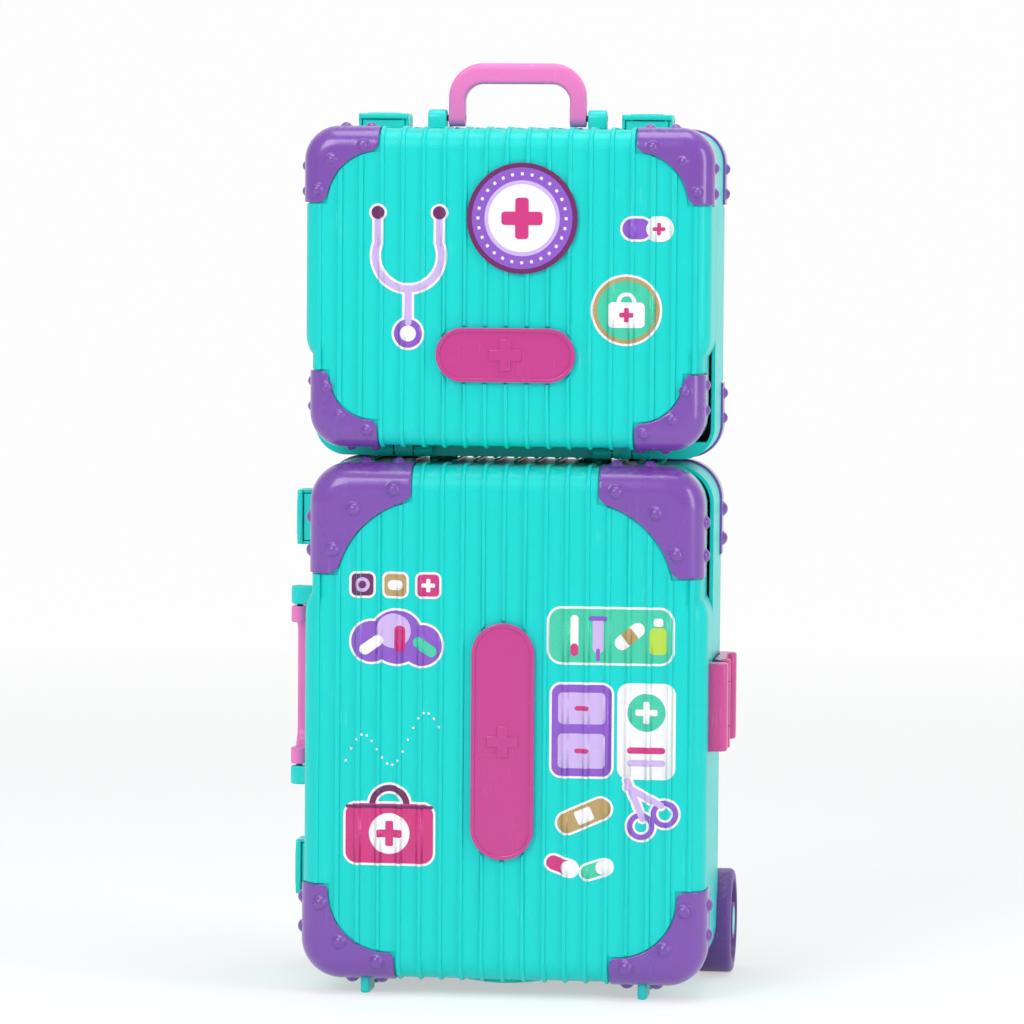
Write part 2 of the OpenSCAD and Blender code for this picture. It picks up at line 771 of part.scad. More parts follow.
// Upright bail with its pivot axis along x through the origin
module handle(w, reach) {
    half_t = handle_t / 2;
    inner_r = handle_corner_r - leg_w;
    difference() {
        intersection() {
            rotate([90, 0, 0]) linear_extrude(handle_t, center = true) difference() {
                union() {
                    translate([-w / 2, -half_t]) square([w, half_t + reach - handle_corner_r]);
                    translate([-w / 2 + handle_corner_r, 0]) square([w - 2 * handle_corner_r, reach]);
                    for (s = [-1, 1]) translate([s * (w / 2 - handle_corner_r), reach - handle_corner_r])
                        circle(handle_corner_r);
                }
                translate([0, -handle_t]) finger_gap(w - 2 * leg_w, handle_t + reach - grip_h, inner_r);
            }
            rotate([90, 0, 90]) linear_extrude(w + 2, center = true) {
                circle(half_t);
                translate([-half_t, 0]) square([handle_t, reach - handle_round_r]);
                translate([handle_round_r - half_t, 0])
                    square([handle_t - 2 * handle_round_r, reach]);
                for (s = [-1, 1]) translate([s * (half_t - handle_round_r), reach - handle_round_r])
                    circle(handle_round_r);
            }
        }
        rotate([0, 90, 0]) cylinder(r = handle_pin_r + run_fit, h = w + 2, center = true);
    }
}

// Opening of width w and height h over y = 0, with its upper corners rounded
module finger_gap(w, h, r) {
    translate([-w / 2, 0]) square([w, h - r]);
    translate([-w / 2 + r, 0]) square([w - 2 * r, h]);
    for (s = [-1, 1]) translate([s * (w / 2 - r), h - r]) circle(r);
}

// Ear beside a handle's leg; s is -1 or 1 for the side that it stands on
module ear(w, rise, s) {
    translate([s * (w / 2 + ear_gap + ear_w / 2), pivot_back, 0]) difference() {
        union() {
            translate([0, 0, rise]) rotate([0, 90, 0])
                cylinder(d = handle_t, h = ear_w, center = true);
            translate([-ear_w / 2, -handle_t / 2, fit]) cube([ear_w, handle_t, rise - fit]);
        }
        translate([0, 0, rise]) rotate([0, 90, 0])
            cylinder(r = handle_pin_r + run_fit, h = ear_w + 2, center = true);
    }
}

module ear_clearing() {
    translate([-ear_w / 2 - guard_line, pivot_back - handle_t / 2 - guard_line, 0])
        cube([ear_w + 2 * guard_line, handle_t + 2 * guard_line, 2 * rib_h]);
}

// Pins from the ears into a handle's legs
module handle_pins(w, rise) {
    pin_l = leg_w + ear_gap + ear_w - 2;
    for (s = [-1, 1])
        translate([s * (w / 2 - leg_w + 1 + pin_l / 2), pivot_back, rise]) rotate([0, 90, 0])
            cylinder(r = handle_pin_r, h = pin_l, center = true);
}

module top_handle() {
    color(pink_colour) on_top(0) translate([0, pivot_back, top_pivot_rise])
        handle(top_handle_w, top_handle_reach);
}
module top_handle_left_ear() { color(trim_colour) on_top(0) ear(top_handle_w, top_pivot_rise, -1); }
module top_handle_right_ear() { color(trim_colour) on_top(0) ear(top_handle_w, top_pivot_rise, 1); }
module top_handle_pins() { color(navy_colour) on_top(0) handle_pins(top_handle_w, top_pivot_rise); }

// Folded back against the case's side
module side_handle() {
    color(pink_colour) on_left(side_handle_z) translate([0, pivot_back, side_pivot_rise])
        rotate([-90, 0, 0]) handle(side_handle_w, side_handle_reach);
}
module side_handle_top_ear() {
    color(trim_colour) on_left(side_handle_z) ear(side_handle_w, side_pivot_rise, 1);
}
module side_handle_bottom_ear() {
    color(trim_colour) on_left(side_handle_z) ear(side_handle_w, side_pivot_rise, -1);
}
module side_handle_pins() {
    color(navy_colour) on_left(side_handle_z) handle_pins(side_handle_w, side_pivot_rise);
}

// ---------- Side hinge ----------

// Upright bar with rounded outer edges, against the case's right side
module hinge_bar(y) {
    translate([side_x + fit, y - hinge_bar_w / 2, hinge_z - hinge_h / 2]) linear_extrude(hinge_h) {
        square([hinge_proud - fit - hinge_round_r, hinge_bar_w]);
        translate([0, hinge_round_r])
            square([hinge_proud - fit, hinge_bar_w - 2 * hinge_round_r]);
        for (v = [hinge_round_r, hinge_bar_w - hinge_round_r])
            translate([hinge_proud - fit - hinge_round_r, v]) circle(hinge_round_r);
    }
}

// Arm from a bar to a knuckle on the seam's line, between two heights
module hinge_arm(y, z0, z1) {
    translate([side_x + hinge_arm_gap, min(y, seam_y), z0])
        cube([hinge_axis_out - hinge_arm_gap, abs(y - seam_y), z1 - z0]);
    translate([hinge_x, seam_y, z0]) cylinder(r = hinge_proud - hinge_axis_out, h = z1 - z0);
}

module hinge_pin_bore() {
    translate([hinge_x, seam_y, hinge_z]) cylinder(r = hinge_pin_r + run_fit, h = hinge_h + 2,
                                                   center = true);
}

module hinge_front_leaf() {
    color(hinge_colour) difference() {
        union() {
            hinge_bar(hinge_front_y);
            hinge_arm(hinge_front_y, hinge_z - hinge_web_h / 2, hinge_z + hinge_web_h / 2);
        }
        hinge_pin_bore();
        at_hinge_screws(hinge_front_y) screw_hole(hinge_screw_grip);
    }
}

module hinge_rear_leaf() {
    color(hinge_colour) difference() {
        union() {
            hinge_bar(hinge_rear_y);
            hinge_arm(hinge_rear_y, hinge_z + hinge_web_h / 2 + play, hinge_z + hinge_h / 2);
            hinge_arm(hinge_rear_y, hinge_z - hinge_h / 2, hinge_z - hinge_web_h / 2 - play);
        }
        hinge_pin_bore();
        at_hinge_screws(hinge_rear_y) screw_hole(hinge_screw_grip);
    }
}

module hinge_pin() {
    color(steel_colour) translate([hinge_x, seam_y, hinge_z])
        cylinder(r = hinge_pin_r, h = hinge_h - 2, center = true);
}

// ---------- Screws ----------

// Screw along +z, with its head below z = 0
module screw(grip) {
    cylinder(r = screw_r, h = grip);
    difference() {
        translate([0, 0, -screw_head_h]) cylinder(r = 2 * screw_r, h = screw_head_h);
        for (a = [0, 90]) rotate([0, 0, a])
            translate([0, 0, -screw_head_h]) cube([2.4 * screw_r, 0.5 * screw_r, screw_r],
                                                  center = true);
    }
}

module screw_hole(grip) {
    translate([0, 0, -grip]) cylinder(r = screw_r + fit, h = 2 * grip + fit);
}

// Screw places inside the right wall, pointing outwards into a hinge bar
module at_hinge_screws(y) {
    for (s = [-1, 1]) translate([side_x - wall - fit, y, hinge_z + s * hinge_screw_z])
        rotate([0, 90, 0]) children();
}

// Screw places on the wheel brackets' plates, pointing into the case
module at_bracket_screws() {
    for (x = [-1, 1], s = [-1, 1])
        translate([x * bracket_x + s * bracket_w / 4, back_y + bracket_plate_t + 2 * fit,
                   bracket_z0 + bracket_h - 4 * screw_r])
            rotate([90, 0, 0]) children();
}

module hinge_front_screws() {
    color(steel_colour) at_hinge_screws(hinge_front_y) screw(hinge_screw_grip - fit);
}
module hinge_rear_screws() {
    color(steel_colour) at_hinge_screws(hinge_rear_y) screw(hinge_screw_grip - fit);
}
module bracket_screws() {
    color(steel_colour) at_bracket_screws() screw(2 * wall + bracket_plate_t);
}

// ---------- Wheels ----------

module along_axle(x) { translate([x, axle_y, wheel_r]) rotate([0, 90, 0]) children(); }

// Room round both wheels, grown by g
module wheel_wells(g) {
    for (s = [-1, 1]) along_axle(s * (wheel_x + wheel_w))
        cylinder(r = wheel_r + well_gap + g, h = 3 * wheel_w + 2 * well_gap + 2 * g, center = true);
}

// Wheel with its outer face on the side s
module wheel(s) {
    color(wheel_colour) difference() {
        along_axle(s * wheel_x) cylinder(r = wheel_r, h = wheel_w, center = true);
        for (t = [-1, 1]) along_axle(s * wheel_x + t * wheel_w / 2) difference() {
            cylinder(r = wheel_r - tyre_t, h = wheel_w - wheel_web_t, center = true);
            cylinder(r = hub_r, h = wheel_w, center = true);
        }
        along_axle(s * wheel_x) cylinder(r = axle_r + run_fit, h = wheel_w + 2, center = true);
        along_axle(s * (wheel_x + wheel_w / 2))
            cylinder(r = hub_cap_r + fit, h = 2 * (hub_cap_t + fit), center = true);
    }
}
module hub_cap(s) {
    color(trim_colour) along_axle(s * (wheel_x + wheel_w / 2 - hub_cap_t / 2))
        cylinder(r = hub_cap_r, h = hub_cap_t, center = true);
}
module left_wheel() { wheel(-1); }
module right_wheel() { wheel(1); }
module left_hub_cap() { hub_cap(-1); }
module right_hub_cap() { hub_cap(1); }

module wheel_axle() {
    color(steel_colour) along_axle(0)
        cylinder(r = axle_r, h = 2 * wheel_x + wheel_w - 2 * (hub_cap_t + play), center = true);
}

module wheel_bracket(s) {
    color(trim_colour) difference() {
        union() {
            along_axle(s * bracket_x) cylinder(r = bracket_r, h = bracket_w, center = true);
            translate([s * bracket_x - bracket_w / 2, back_y + fit, wheel_r - bracket_r])
                cube([bracket_w, axle_back - fit, 2 * bracket_r]);
            translate([s * bracket_x - bracket_w / 2, back_y + fit, bracket_z0])
                cube([bracket_w, bracket_plate_t, bracket_h]);
        }
        along_axle(0) cylinder(r = axle_r + run_fit, h = case_w, center = true);
        at_bracket_screws() screw_hole(2 * wall + bracket_plate_t);
    }
}
module left_wheel_bracket() { wheel_bracket(-1); }
module right_wheel_bracket() { wheel_bracket(1); }

// ---------- Feet ----------

module foot_post(y) {
    for (s = [-1, 1]) translate([s * foot_x, y, 0]) linear_extrude(foot_h + foot_w / 2)
        capsule(foot_w, foot_l, 0);
}
module front_feet() {
    color(trim_colour) difference() {
        foot_post(front_foot_y);
        at_front(lower_mid) lower_front_pan(fit);
    }
}
module rear_feet() {
    color(trim_colour) difference() {
        foot_post(rear_foot_y);
        at_back(lower_mid) lower_rear_pan(fit);
    }
}

// ---------- Name plates ----------

// Outline with round ends, grown by g
module capsule(w, h, g) {
    r = min(w, h) / 2 + g;
    if (w > h) {
        square([w - h, 2 * r], center = true);
        for (s = [-1, 1]) translate([s * (w - h) / 2, 0]) circle(r);
    } else {
        square([2 * r, h - w], center = true);
        for (s = [-1, 1]) translate([0, s * (h - w) / 2]) circle(r);
    }
}

module name_plate(w, h) {
    translate([0, 0, front_depth + fit]) {
        linear_extrude(plate_t) capsule(w, h, 0);
        linear_extrude(plate_t + plate_rim_h) {
            difference() {
                capsule(w, h, 0);
                capsule(w, h, -plate_rim_w);
            }
            square([cross_l, cross_w], center = true);
            square([cross_w, cross_l], center = true);
        }
    }
}
module upper_name_plate() {
    color(plate_colour) at_front(lid_mid) translate([0, upper_plate_up, 0])
        name_plate(upper_plate_l, upper_plate_w);
}
module lower_name_plate() {
    color(plate_colour) at_front(lower_mid) translate([0, lower_plate_up, 0])
        name_plate(lower_plate_w, lower_plate_l);
}

// ---------- Trays ----------

// Tray with a flange behind the rim of a front half of height h
module tray(h, depth, corner_r, shelf_count) {
    w = case_w - 2 * (wall + tray_side_gap);
    tray_h = h - 2 * (wall + tray_side_gap);
    r = corner_r - wall;
    color(tray_colour) difference() {
        union() {
            translate([0, 0, -tray_proud]) pan(w, tray_h, tray_proud + depth, r, tray_edge_r);
            translate([0, 0, seam_gap / 2]) linear_extrude(tray_wall)
                rounded_rect(case_w - 2 * (max(wall, waist_inset) + fit), h - 2 * (wall + fit),
                             r - fit);
        }
        difference() {
            translate([0, 0, -tray_proud - eps])
                pan(w - 2 * tray_wall, tray_h - 2 * tray_wall, tray_proud + depth - tray_wall + eps,
                    r - tray_wall, tray_edge_r - tray_wall);
            for (i = [1:shelf_count])
                translate([-w / 2, -tray_h / 2 + i * tray_h / (shelf_count + 1) - tray_wall / 2, 0])
                    cube([w, tray_wall, depth]);
            translate([-tray_wall / 2, -tray_h / 2, 0])
                cube([tray_wall, tray_h / (shelf_count + 1), depth]);
        }
    }
}
module lower_tray() {
    at_back(lower_mid) tray(lower_h, lower_tray_depth, lower_corner_r, 2);
}
module upper_tray() {
    at_back(lid_mid) tray(upper_h, upper_tray_depth, upper_corner_r, 1);
}

// ---------- Guards by name ----------

// Room for a foot through a bottom guard
module foot_notch() {
    for (s = [-1, 1])
        translate([s * foot_x - foot_w / 2 - guard_line, front_foot_y - foot_l / 2 - guard_line, 0])
            cube([foot_w + 2 * guard_line, foot_l + 2 * guard_line, lower_z0 + guard_sink + fit]);
}

module lower_front_guard_top_left() { lower_front_guard(-1, 1); }
module lower_front_guard_top_right() { lower_front_guard(1, 1); }
module lower_front_guard_bottom_left() { difference() { lower_front_guard(-1, -1); foot_notch(); } }
module lower_front_guard_bottom_right() { difference() { lower_front_guard(1, -1); foot_notch(); } }
module lower_rear_guard_left() { lower_rear_guard(-1); }
module lower_rear_guard_right() { lower_rear_guard(1); }
module upper_front_guard_top_left() { upper_front_guard(-1, 1); }
module upper_front_guard_top_right() { upper_front_guard(1, 1); }
module upper_front_guard_bottom_left() { upper_front_guard(-1, -1); }
module upper_front_guard_bottom_right() { upper_front_guard(1, -1); }
module upper_rear_guard_top_left() { upper_rear_guard(-1, 1); }
module upper_rear_guard_top_right() { upper_rear_guard(1, 1); }
module upper_rear_guard_bottom_left() { upper_rear_guard(-1, -1); }
module upper_rear_guard_bottom_right() { upper_rear_guard(1, -1); }

lower_rear_shell();
lower_rear_guard_left();
lower_rear_guard_right();
lower_tray();
wheel_axle();
left_wheel_bracket();
right_wheel_bracket();
bracket_screws();
rear_feet();
side_handle_top_ear();
side_handle_bottom_ear();
side_handle_pins();
side_latch_lugs();
side_latch_pins();
hinge_rear_leaf();
hinge_pin();
hinge_rear_screws();
lower_front_shell();
lower_front_guard_top_left();
lower_front_guard_top_right();
lower_front_guard_bottom_left();
lower_front_guard_bottom_right();
lower_name_plate();
front_feet();
hinge_front_leaf();
hinge_front_screws();
side_latch_catches();
side_latch_top();
side_latch_bottom();
side_handle();
left_wheel();
left_hub_cap();
right_wheel();
right_hub_cap();
upper_rear_shell();
upper_rear_guard_top_left();
upper_rear_guard_top_right();
upper_rear_guard_bottom_left();
upper_rear_guard_bottom_right();
upper_tray();
top_handle_left_ear();
top_handle_right_ear();
top_handle_pins();
top_latch_lugs();
top_latch_pins();
lid_hinge_pins();
upper_front_shell();
upper_front_guard_top_left();
upper_front_guard_top_right();
upper_front_guard_bottom_left();
upper_front_guard_bottom_right();
upper_name_plate();
top_latch_catches();
top_latch_left();
top_latch_right();
top_handle();
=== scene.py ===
"""Softened mouldings, finishes, stickers and stage for the toy doctor case.

Metres. +X right, -Y front, +Z up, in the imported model's frame.
"""

import json
from functools import partial
from math import cos, hypot, pi, radians, sin, tau

import bmesh
import bpy
from bpy.props import FloatProperty, FloatVectorProperty, IntProperty, PointerProperty
from mathutils import Matrix, Vector

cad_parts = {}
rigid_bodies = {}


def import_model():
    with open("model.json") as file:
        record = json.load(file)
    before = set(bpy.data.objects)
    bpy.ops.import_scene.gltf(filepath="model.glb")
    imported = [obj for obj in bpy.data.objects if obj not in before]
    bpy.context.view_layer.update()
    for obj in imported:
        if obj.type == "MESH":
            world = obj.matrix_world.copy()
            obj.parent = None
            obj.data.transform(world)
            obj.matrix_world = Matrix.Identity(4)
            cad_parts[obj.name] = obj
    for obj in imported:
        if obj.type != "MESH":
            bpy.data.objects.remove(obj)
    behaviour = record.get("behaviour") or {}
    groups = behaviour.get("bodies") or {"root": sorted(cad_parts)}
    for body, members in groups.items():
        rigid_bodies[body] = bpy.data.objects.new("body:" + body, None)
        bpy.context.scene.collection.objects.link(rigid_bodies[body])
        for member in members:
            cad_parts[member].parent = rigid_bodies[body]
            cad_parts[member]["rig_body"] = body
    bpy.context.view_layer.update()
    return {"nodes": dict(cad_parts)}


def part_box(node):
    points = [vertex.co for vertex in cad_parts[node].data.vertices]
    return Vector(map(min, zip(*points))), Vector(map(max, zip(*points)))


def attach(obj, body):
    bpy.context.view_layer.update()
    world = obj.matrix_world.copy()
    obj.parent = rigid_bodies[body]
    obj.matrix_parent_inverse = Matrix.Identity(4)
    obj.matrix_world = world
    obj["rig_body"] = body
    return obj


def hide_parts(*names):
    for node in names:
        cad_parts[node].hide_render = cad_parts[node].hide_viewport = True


bl_info = {
    "name": "Toy Doctor Case",
    "version": (1, 0, 0),
    "blender": (4, 5, 0),
    "location": "View3D > Sidebar > Doctor Case",
    "description": "Dresses the toy doctor case with its mouldings, finishes, stickers and stage",
    "category": "Object",
}

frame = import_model()
NODES = frame["nodes"]
MM = 0.001

# The case's own places, as its solids have them
SEAM_Y = -35 * MM
FACE_Y = -83.5 * MM
BACK_Y = 43.5 * MM
SIDE_X = 128.5 * MM
DOOR_Z = (10.5 * MM, 337.5 * MM)
LID_Z = (350 * MM, 550 * MM)
BASE_Z = (341.5 * MM, 550 * MM)
RIB_PITCH = 13.2 * MM
GUARD_RISE = 1.5 * MM
WAIST = 4.2 * MM
FLANK_IN = 17 * MM
SHELF_Z = {"lower": (123 * MM, 225 * MM), "upper": (450 * MM,)}
SPOKES_X = 131.4 * MM

# Pins and axle, each by the two coordinates of its line
TOP_HANDLE_PIN = {"y": -26 * MM, "z": 557.3 * MM}
SIDE_HANDLE_PIN = {"x": -139 * MM, "y": -26 * MM}
TOP_LATCH_PIN = {"y": -26 * MM, "z": 555.4 * MM}
SIDE_LATCH_PIN = {"x": -133.9 * MM, "y": -26 * MM}
HINGE_PIN = {"x": 135.8 * MM, "y": SEAM_Y}
AXLE = {"y": 55 * MM, "z": 34 * MM}

# Rivets from the case's side and end, and their distances along the flanks, in mm
RIVETS = {
    "lower_outer": ([(49, 11.5), (25, 23.5), (12.5, 48)], (31, 50)),
    "lower_inner": ([(58, 15), (32.5, 28), (19.5, 54)], (34, 55)),
    "upper_outer": ([(37, 11), (17.5, 20), (8.6, 39)], (24, 40)),
    "upper_inner": ([(41, 9.5), (23.5, 18.5), (15, 36.5)], (24, 40)),
}

# Mesh limits: gaps that are closed, the turn between faces that count as one, the turn from
# which an edge can be rounded, slivers that go, how near to an axis an edge or a flat face's
# normal has to point, and the size and turn of a curved wall's strips
CLOSE = 0.004 * MM
ONE_FACE = radians(0.5)
SHARP_EDGE = radians(32)
SLIVER = 0.02 * MM
ALONG = 0.99
SQUARE = 0.9998
STRIP_AREA = 100 * MM**2
STRIP_TURN = (radians(1.15), radians(12))
PLANE_GAP = 1e-7

# Turns in degrees from which shading breaks: plain mouldings, even meshes, repeats, foils
PLAIN_BREAK, EVEN_BREAK, REPEAT_BREAK, FOIL_BREAK = 38, 60, 45, 50

FLOAT, VECTOR, INTEGER = "NodeSocketFloat", "NodeSocketVector", "NodeSocketInt"
FINISH_INPUT = ("Finish", "NodeSocketMaterial", None)


def linear(code):
    """Scene colour of a hex code."""
    parts = [int(code[i : i + 2], 16) / 255 for i in (0, 2, 4)]
    return tuple(p / 12.92 if p < 0.04045 else ((p + 0.055) / 1.055) ** 2.4 for p in parts)


def swatch(name, code):
    """Colour property from a hex code."""
    return FloatVectorProperty(
        name=name, description=name, subtype="COLOR", size=3, min=0, max=1, default=linear(code)
    )


def number(name, description, default, kind=FloatProperty, **more):
    """Property with a name, a description and a start value."""
    return kind(name=name, description=description, default=default, **more)


def rounding(name, mm):
    """Property for a radius, given in mm."""
    return number(name, "Radius of the " + name.lower(), mm * MM, unit="LENGTH", min=0)


length = partial(number, unit="LENGTH", min=0)
angle = partial(number, subtype="ANGLE")
wattage = partial(number, unit="POWER")
amount = partial(number, kind=IntProperty)


class CaseColours(bpy.types.PropertyGroup):
    """Colours of the case's plastics, metals and stickers"""

    shell: swatch("Shell turquoise", "10D2CB")
    trim: swatch("Latch and ear turquoise", "1FD6CF")
    guard: swatch("Guard purple", "7742A6")
    wheel: swatch("Wheel purple", "6B4593")
    pink: swatch("Handle pink", "F27BC0")
    hinge: swatch("Hinge pink", "CE4790")
    tray: swatch("Tray ivory", "F1ECDD")
    plate: swatch("Plate magenta", "C22B86")
    pin: swatch("Pin blue", "1E2A5A")
    steel: swatch("Steel", "B8BCC2")
    plum: swatch("Sticker plum", "6A1B5E")
    violet: swatch("Sticker violet", "8C55C4")
    lilac: swatch("Sticker lilac", "CDB2E6")
    white: swatch("Sticker white", "F4F1F2")
    sand: swatch("Sticker sand", "B99A62")
    rose: swatch("Sticker rose", "CF2F7C")
    mint: swatch("Sticker mint", "3FC9A6")
    lime: swatch("Sticker lime", "B5D948")


class CaseMouldings(bpy.types.PropertyGroup):
    """Roundings of the moulded pieces"""

    rib_round: rounding("Rib crowns", 1.25)
    outer_round: rounding("Crowns of ribs that end at guards", 0.4)
    shell_edge: rounding("Shell edges", 0.3)
    guard_grain: length("Guard grain", "Mesh size that softens guards and handles", 0.6 * MM)
    guard_tip: length("Guard tips", "Corner radius of the guards' legs", 5.5 * MM)
    grip_edge: rounding("Handle edges", 2.2)
    ear_edge: rounding("Ear edges", 1.4)
    latch_edge: rounding("Latch edges", 0.6)
    hinge_edge: rounding("Hinge edges", 1.6)
    tyre_round: rounding("Tyre shoulders", 3.2)
    wheel_edge: rounding("Wheel edges", 0.7)
    cap_edge: rounding("Hub cap edges", 1.2)
    axle_edge: rounding("Axle edges", 0.5)
    foot_edge: rounding("Foot edges", 0.8)
    tray_edge: rounding("Tray edges", 0.5)
    plate_edge: rounding("Plate edges", 0.45)
    pin_edge: rounding("Pin edges", 0.25)
    screw_edge: rounding("Screw edges", 0.2)
    small_edge: rounding("Other edges", 0.4)
    collar_r: length("Rivet collar", "Thickness of the ring round a rivet", 0.45 * MM)
    spokes: amount("Spokes", "Spokes in a wheel", 10, min=3)
    grips: amount("Grips", "Ridges on a latch", 4, min=2)
    beads: amount("Beads", "Beads across a tray's shelf", 13, min=3)


class CaseStickers(bpy.types.PropertyGroup):
    """Sizes of the stickers"""

    medal_r: rounding("Medallion", 35)
    dot_count: amount("Dots", "Dots round the medallion", 28, min=6)
    sheet: length("Foil", "Thickness of one layer of sticker", 0.12 * MM)


class CaseStage(bpy.types.PropertyGroup):
    """Camera and lamps"""

    eye: FloatVectorProperty(
        name="Camera", description="Camera's place", subtype="TRANSLATION", size=3,
        unit="LENGTH", default=(0.373, -3.271, 0.514),
    )
    yaw: angle("Yaw", "Turn to the left", radians(6.59))
    pitch: angle("Pitch", "Tilt down", radians(3.65))
    roll: angle("Roll", "Turn about the view", radians(0.44))
    lens: number("Lens", "Focal length in mm on 36 mm", 179.5)
    key: wattage("Key lamp", "Strength of the front lamp", 30)
    side: wattage("Side lamp", "Strength of the side lamp", 14)
    sky: number("Surround", "Strength of the even light", 0.62)


def settings(name):
    """The scene's property group of a name."""
    return getattr(bpy.context.scene, "doctor_case_" + name)


# --- Shader groups ---


def plug(tree, target, value):
    """Links a socket to an input, or sets the input."""
    if isinstance(value, bpy.types.NodeSocket):
        tree.links.new(value, target)
    else:
        if target.type == "RGBA" and len(value) == 3:
            value = (*value, 1)
        target.default_value = value


def add(tree, kind, inputs=None, **options):
    """Adds a node with its options, and its inputs by name or number."""
    node = tree.nodes.new(kind)
    for key, value in options.items():
        setattr(node, key, value)
    for key, value in (inputs or {}).items():
        plug(tree, node.inputs[key], value)
    return node


def calc(tree, operation, *values, clamp=False):
    """Result of a math node."""
    return add(tree, "ShaderNodeMath", dict(enumerate(values)), operation=operation,
               use_clamp=clamp).outputs[0]


def noise(tree, place, scale, detail, distortion=0.0):
    """Value of a noise texture."""
    return add(tree, "ShaderNodeTexNoise", {"Vector": place, "Scale": scale, "Detail": detail,
                                            "Distortion": distortion}).outputs["Fac"]


def ranged(tree, value, low, high=1.0, start=0.0, end=1.0):
    """Value that goes from start to end between two limits."""
    return add(tree, "ShaderNodeMapRange", {"Value": value, "From Min": low, "From Max": high,
                                            "To Min": start, "To Max": end}).outputs[0]


def blend(tree, share, first, second):
    """Colour between two others."""
    return add(tree, "ShaderNodeMix", {0: share, 6: first, 7: second},
               data_type="RGBA").outputs[2]


def group(name, kind, inputs, outputs):
    """Empty node group with named sockets, and its end nodes."""
    tree = bpy.data.node_groups.new(name, kind)
    for label, socket, default in inputs:
        item = tree.interface.new_socket(name=label, in_out="INPUT", socket_type=socket)
        if default is not None:
            item.default_value = default
    for label, socket in outputs:
        tree.interface.new_socket(name=label, in_out="OUTPUT", socket_type=socket)
    return tree, tree.nodes.new("NodeGroupInput"), tree.nodes.new("NodeGroupOutput")


def moulding_group():
    """Moulded plastic: slow shifts of tone, a fine tool grain, flow marks and small scuffs."""
    tree, start, end = group(
        "Moulded surface", "ShaderNodeTree",
        [("Place", VECTOR, None), ("Colour", "NodeSocketColor", (1, 1, 1, 1)),
         ("Tone", FLOAT, 0.08), ("Grain size", FLOAT, 0.0006), ("Grain", FLOAT, 0.3),
         ("Scuffs", FLOAT, 0.3), ("Roughness", FLOAT, 0.3)],
        [("Colour", "NodeSocketColor"), ("Roughness", FLOAT), ("Height", FLOAT)],
    )
    s = start.outputs
    paler, rougher, deeper, cloudy = 0.22, 0.35, -0.3, 0.05
    tone = calc(tree, "SUBTRACT", noise(tree, s["Place"], 9.0, 3.0), 0.5)
    tone = calc(tree, "MULTIPLY_ADD", tone, s["Tone"], 1.0)
    grain = noise(tree, s["Place"], calc(tree, "DIVIDE", 1.0, s["Grain size"]), 2.0)
    streak = add(tree, "ShaderNodeMapping", {"Vector": s["Place"], "Scale": (900.0, 900.0, 60.0)})
    patch = ranged(tree, noise(tree, s["Place"], 28.0, 4.0), 0.52, 0.7)
    hair = ranged(tree, noise(tree, streak.outputs[0], 1.0, 2.0, 0.4), 0.6, 0.74)
    scuff = calc(tree, "MULTIPLY", calc(tree, "MULTIPLY", patch, hair), s["Scuffs"])
    hue = add(tree, "ShaderNodeHueSaturation", {"Color": s["Colour"], "Value": tone})
    colour = blend(tree, calc(tree, "MULTIPLY", scuff, paler), hue.outputs[0],
                   (0.9, 0.92, 0.92, 1))
    cloud = calc(tree, "MULTIPLY_ADD", patch, cloudy, s["Roughness"])
    rough = calc(tree, "MULTIPLY_ADD", scuff, rougher, cloud, clamp=True)
    height = calc(tree, "MULTIPLY", grain, s["Grain"])
    height = calc(tree, "MULTIPLY_ADD", scuff, deeper, height)
    for label, value in (("Colour", colour), ("Roughness", rough), ("Height", height)):
        plug(tree, end.inputs[label], value)


def dust_group():
    """Thin dust on what faces up, broken by noise: a mask from 0 to 1."""
    tree, start, end = group(
        "Settled dust", "ShaderNodeTree",
        [("Place", VECTOR, None), ("Facing", VECTOR, None), ("Amount", FLOAT, 0.2)],
        [("Mask", FLOAT)],
    )
    s = start.outputs
    up = add(tree, "ShaderNodeSeparateXYZ", {0: s["Facing"]})
    up = ranged(tree, up.outputs["Z"], 0.5)
    specks = ranged(tree, noise(tree, s["Place"], 260.0, 5.0), 0.45, 0.8)
    mask = calc(tree, "MULTIPLY", calc(tree, "MULTIPLY", up, specks), s["Amount"])
    plug(tree, end.inputs["Mask"], mask)


# Finishes by the names of their colours: tone, grain size in m, grain, scuffs, roughness,
# bump in m, specular level, coat, the coat's roughness
FINISHES = {
    "shell": (0.07, 0.0009, 0.25, 0.35, 0.36, 0.00012, 0.22, 0.1, 0.15),
    "trim": (0.05, 0.0008, 0.25, 0.3, 0.32, 0.0001, 0.3, 0.12, 0.15),
    "guard": (0.1, 0.0007, 0.35, 0.5, 0.27, 0.00012, 0.5, 0.55, 0.1),
    "wheel": (0.12, 0.0006, 0.6, 0.9, 0.42, 0.00015, 0.4, 0.0, 0.03),
    "pink": (0.05, 0.0007, 0.4, 0.35, 0.36, 0.00012, 0.4, 0.15, 0.2),
    "hinge": (0.06, 0.0007, 0.3, 0.3, 0.3, 0.0001, 0.4, 0.3, 0.15),
    "tray": (0.04, 0.001, 0.5, 0.4, 0.45, 0.00012, 0.4, 0.0, 0.03),
    "plate": (0.06, 0.0006, 0.25, 0.1, 0.24, 0.00008, 0.5, 0.6, 0.06),
    "pin": (0.1, 0.0005, 0.2, 0.3, 0.35, 0.00006, 0.4, 0.0, 0.03),
    "steel": (0.12, 0.0002, 0.5, 0.8, 0.3, 0.00004, 0.5, 0.0, 0.03),
}
for sticker in ("plum", "violet", "lilac", "white", "sand", "rose", "mint", "lime"):
    FINISHES[sticker] = (0.04, 0.0012, 0.15, 0.2, 0.26, 0.00005, 0.4, 0.35, 0.08)
DUST_COLOUR = (0.75, 0.75, 0.74, 1)


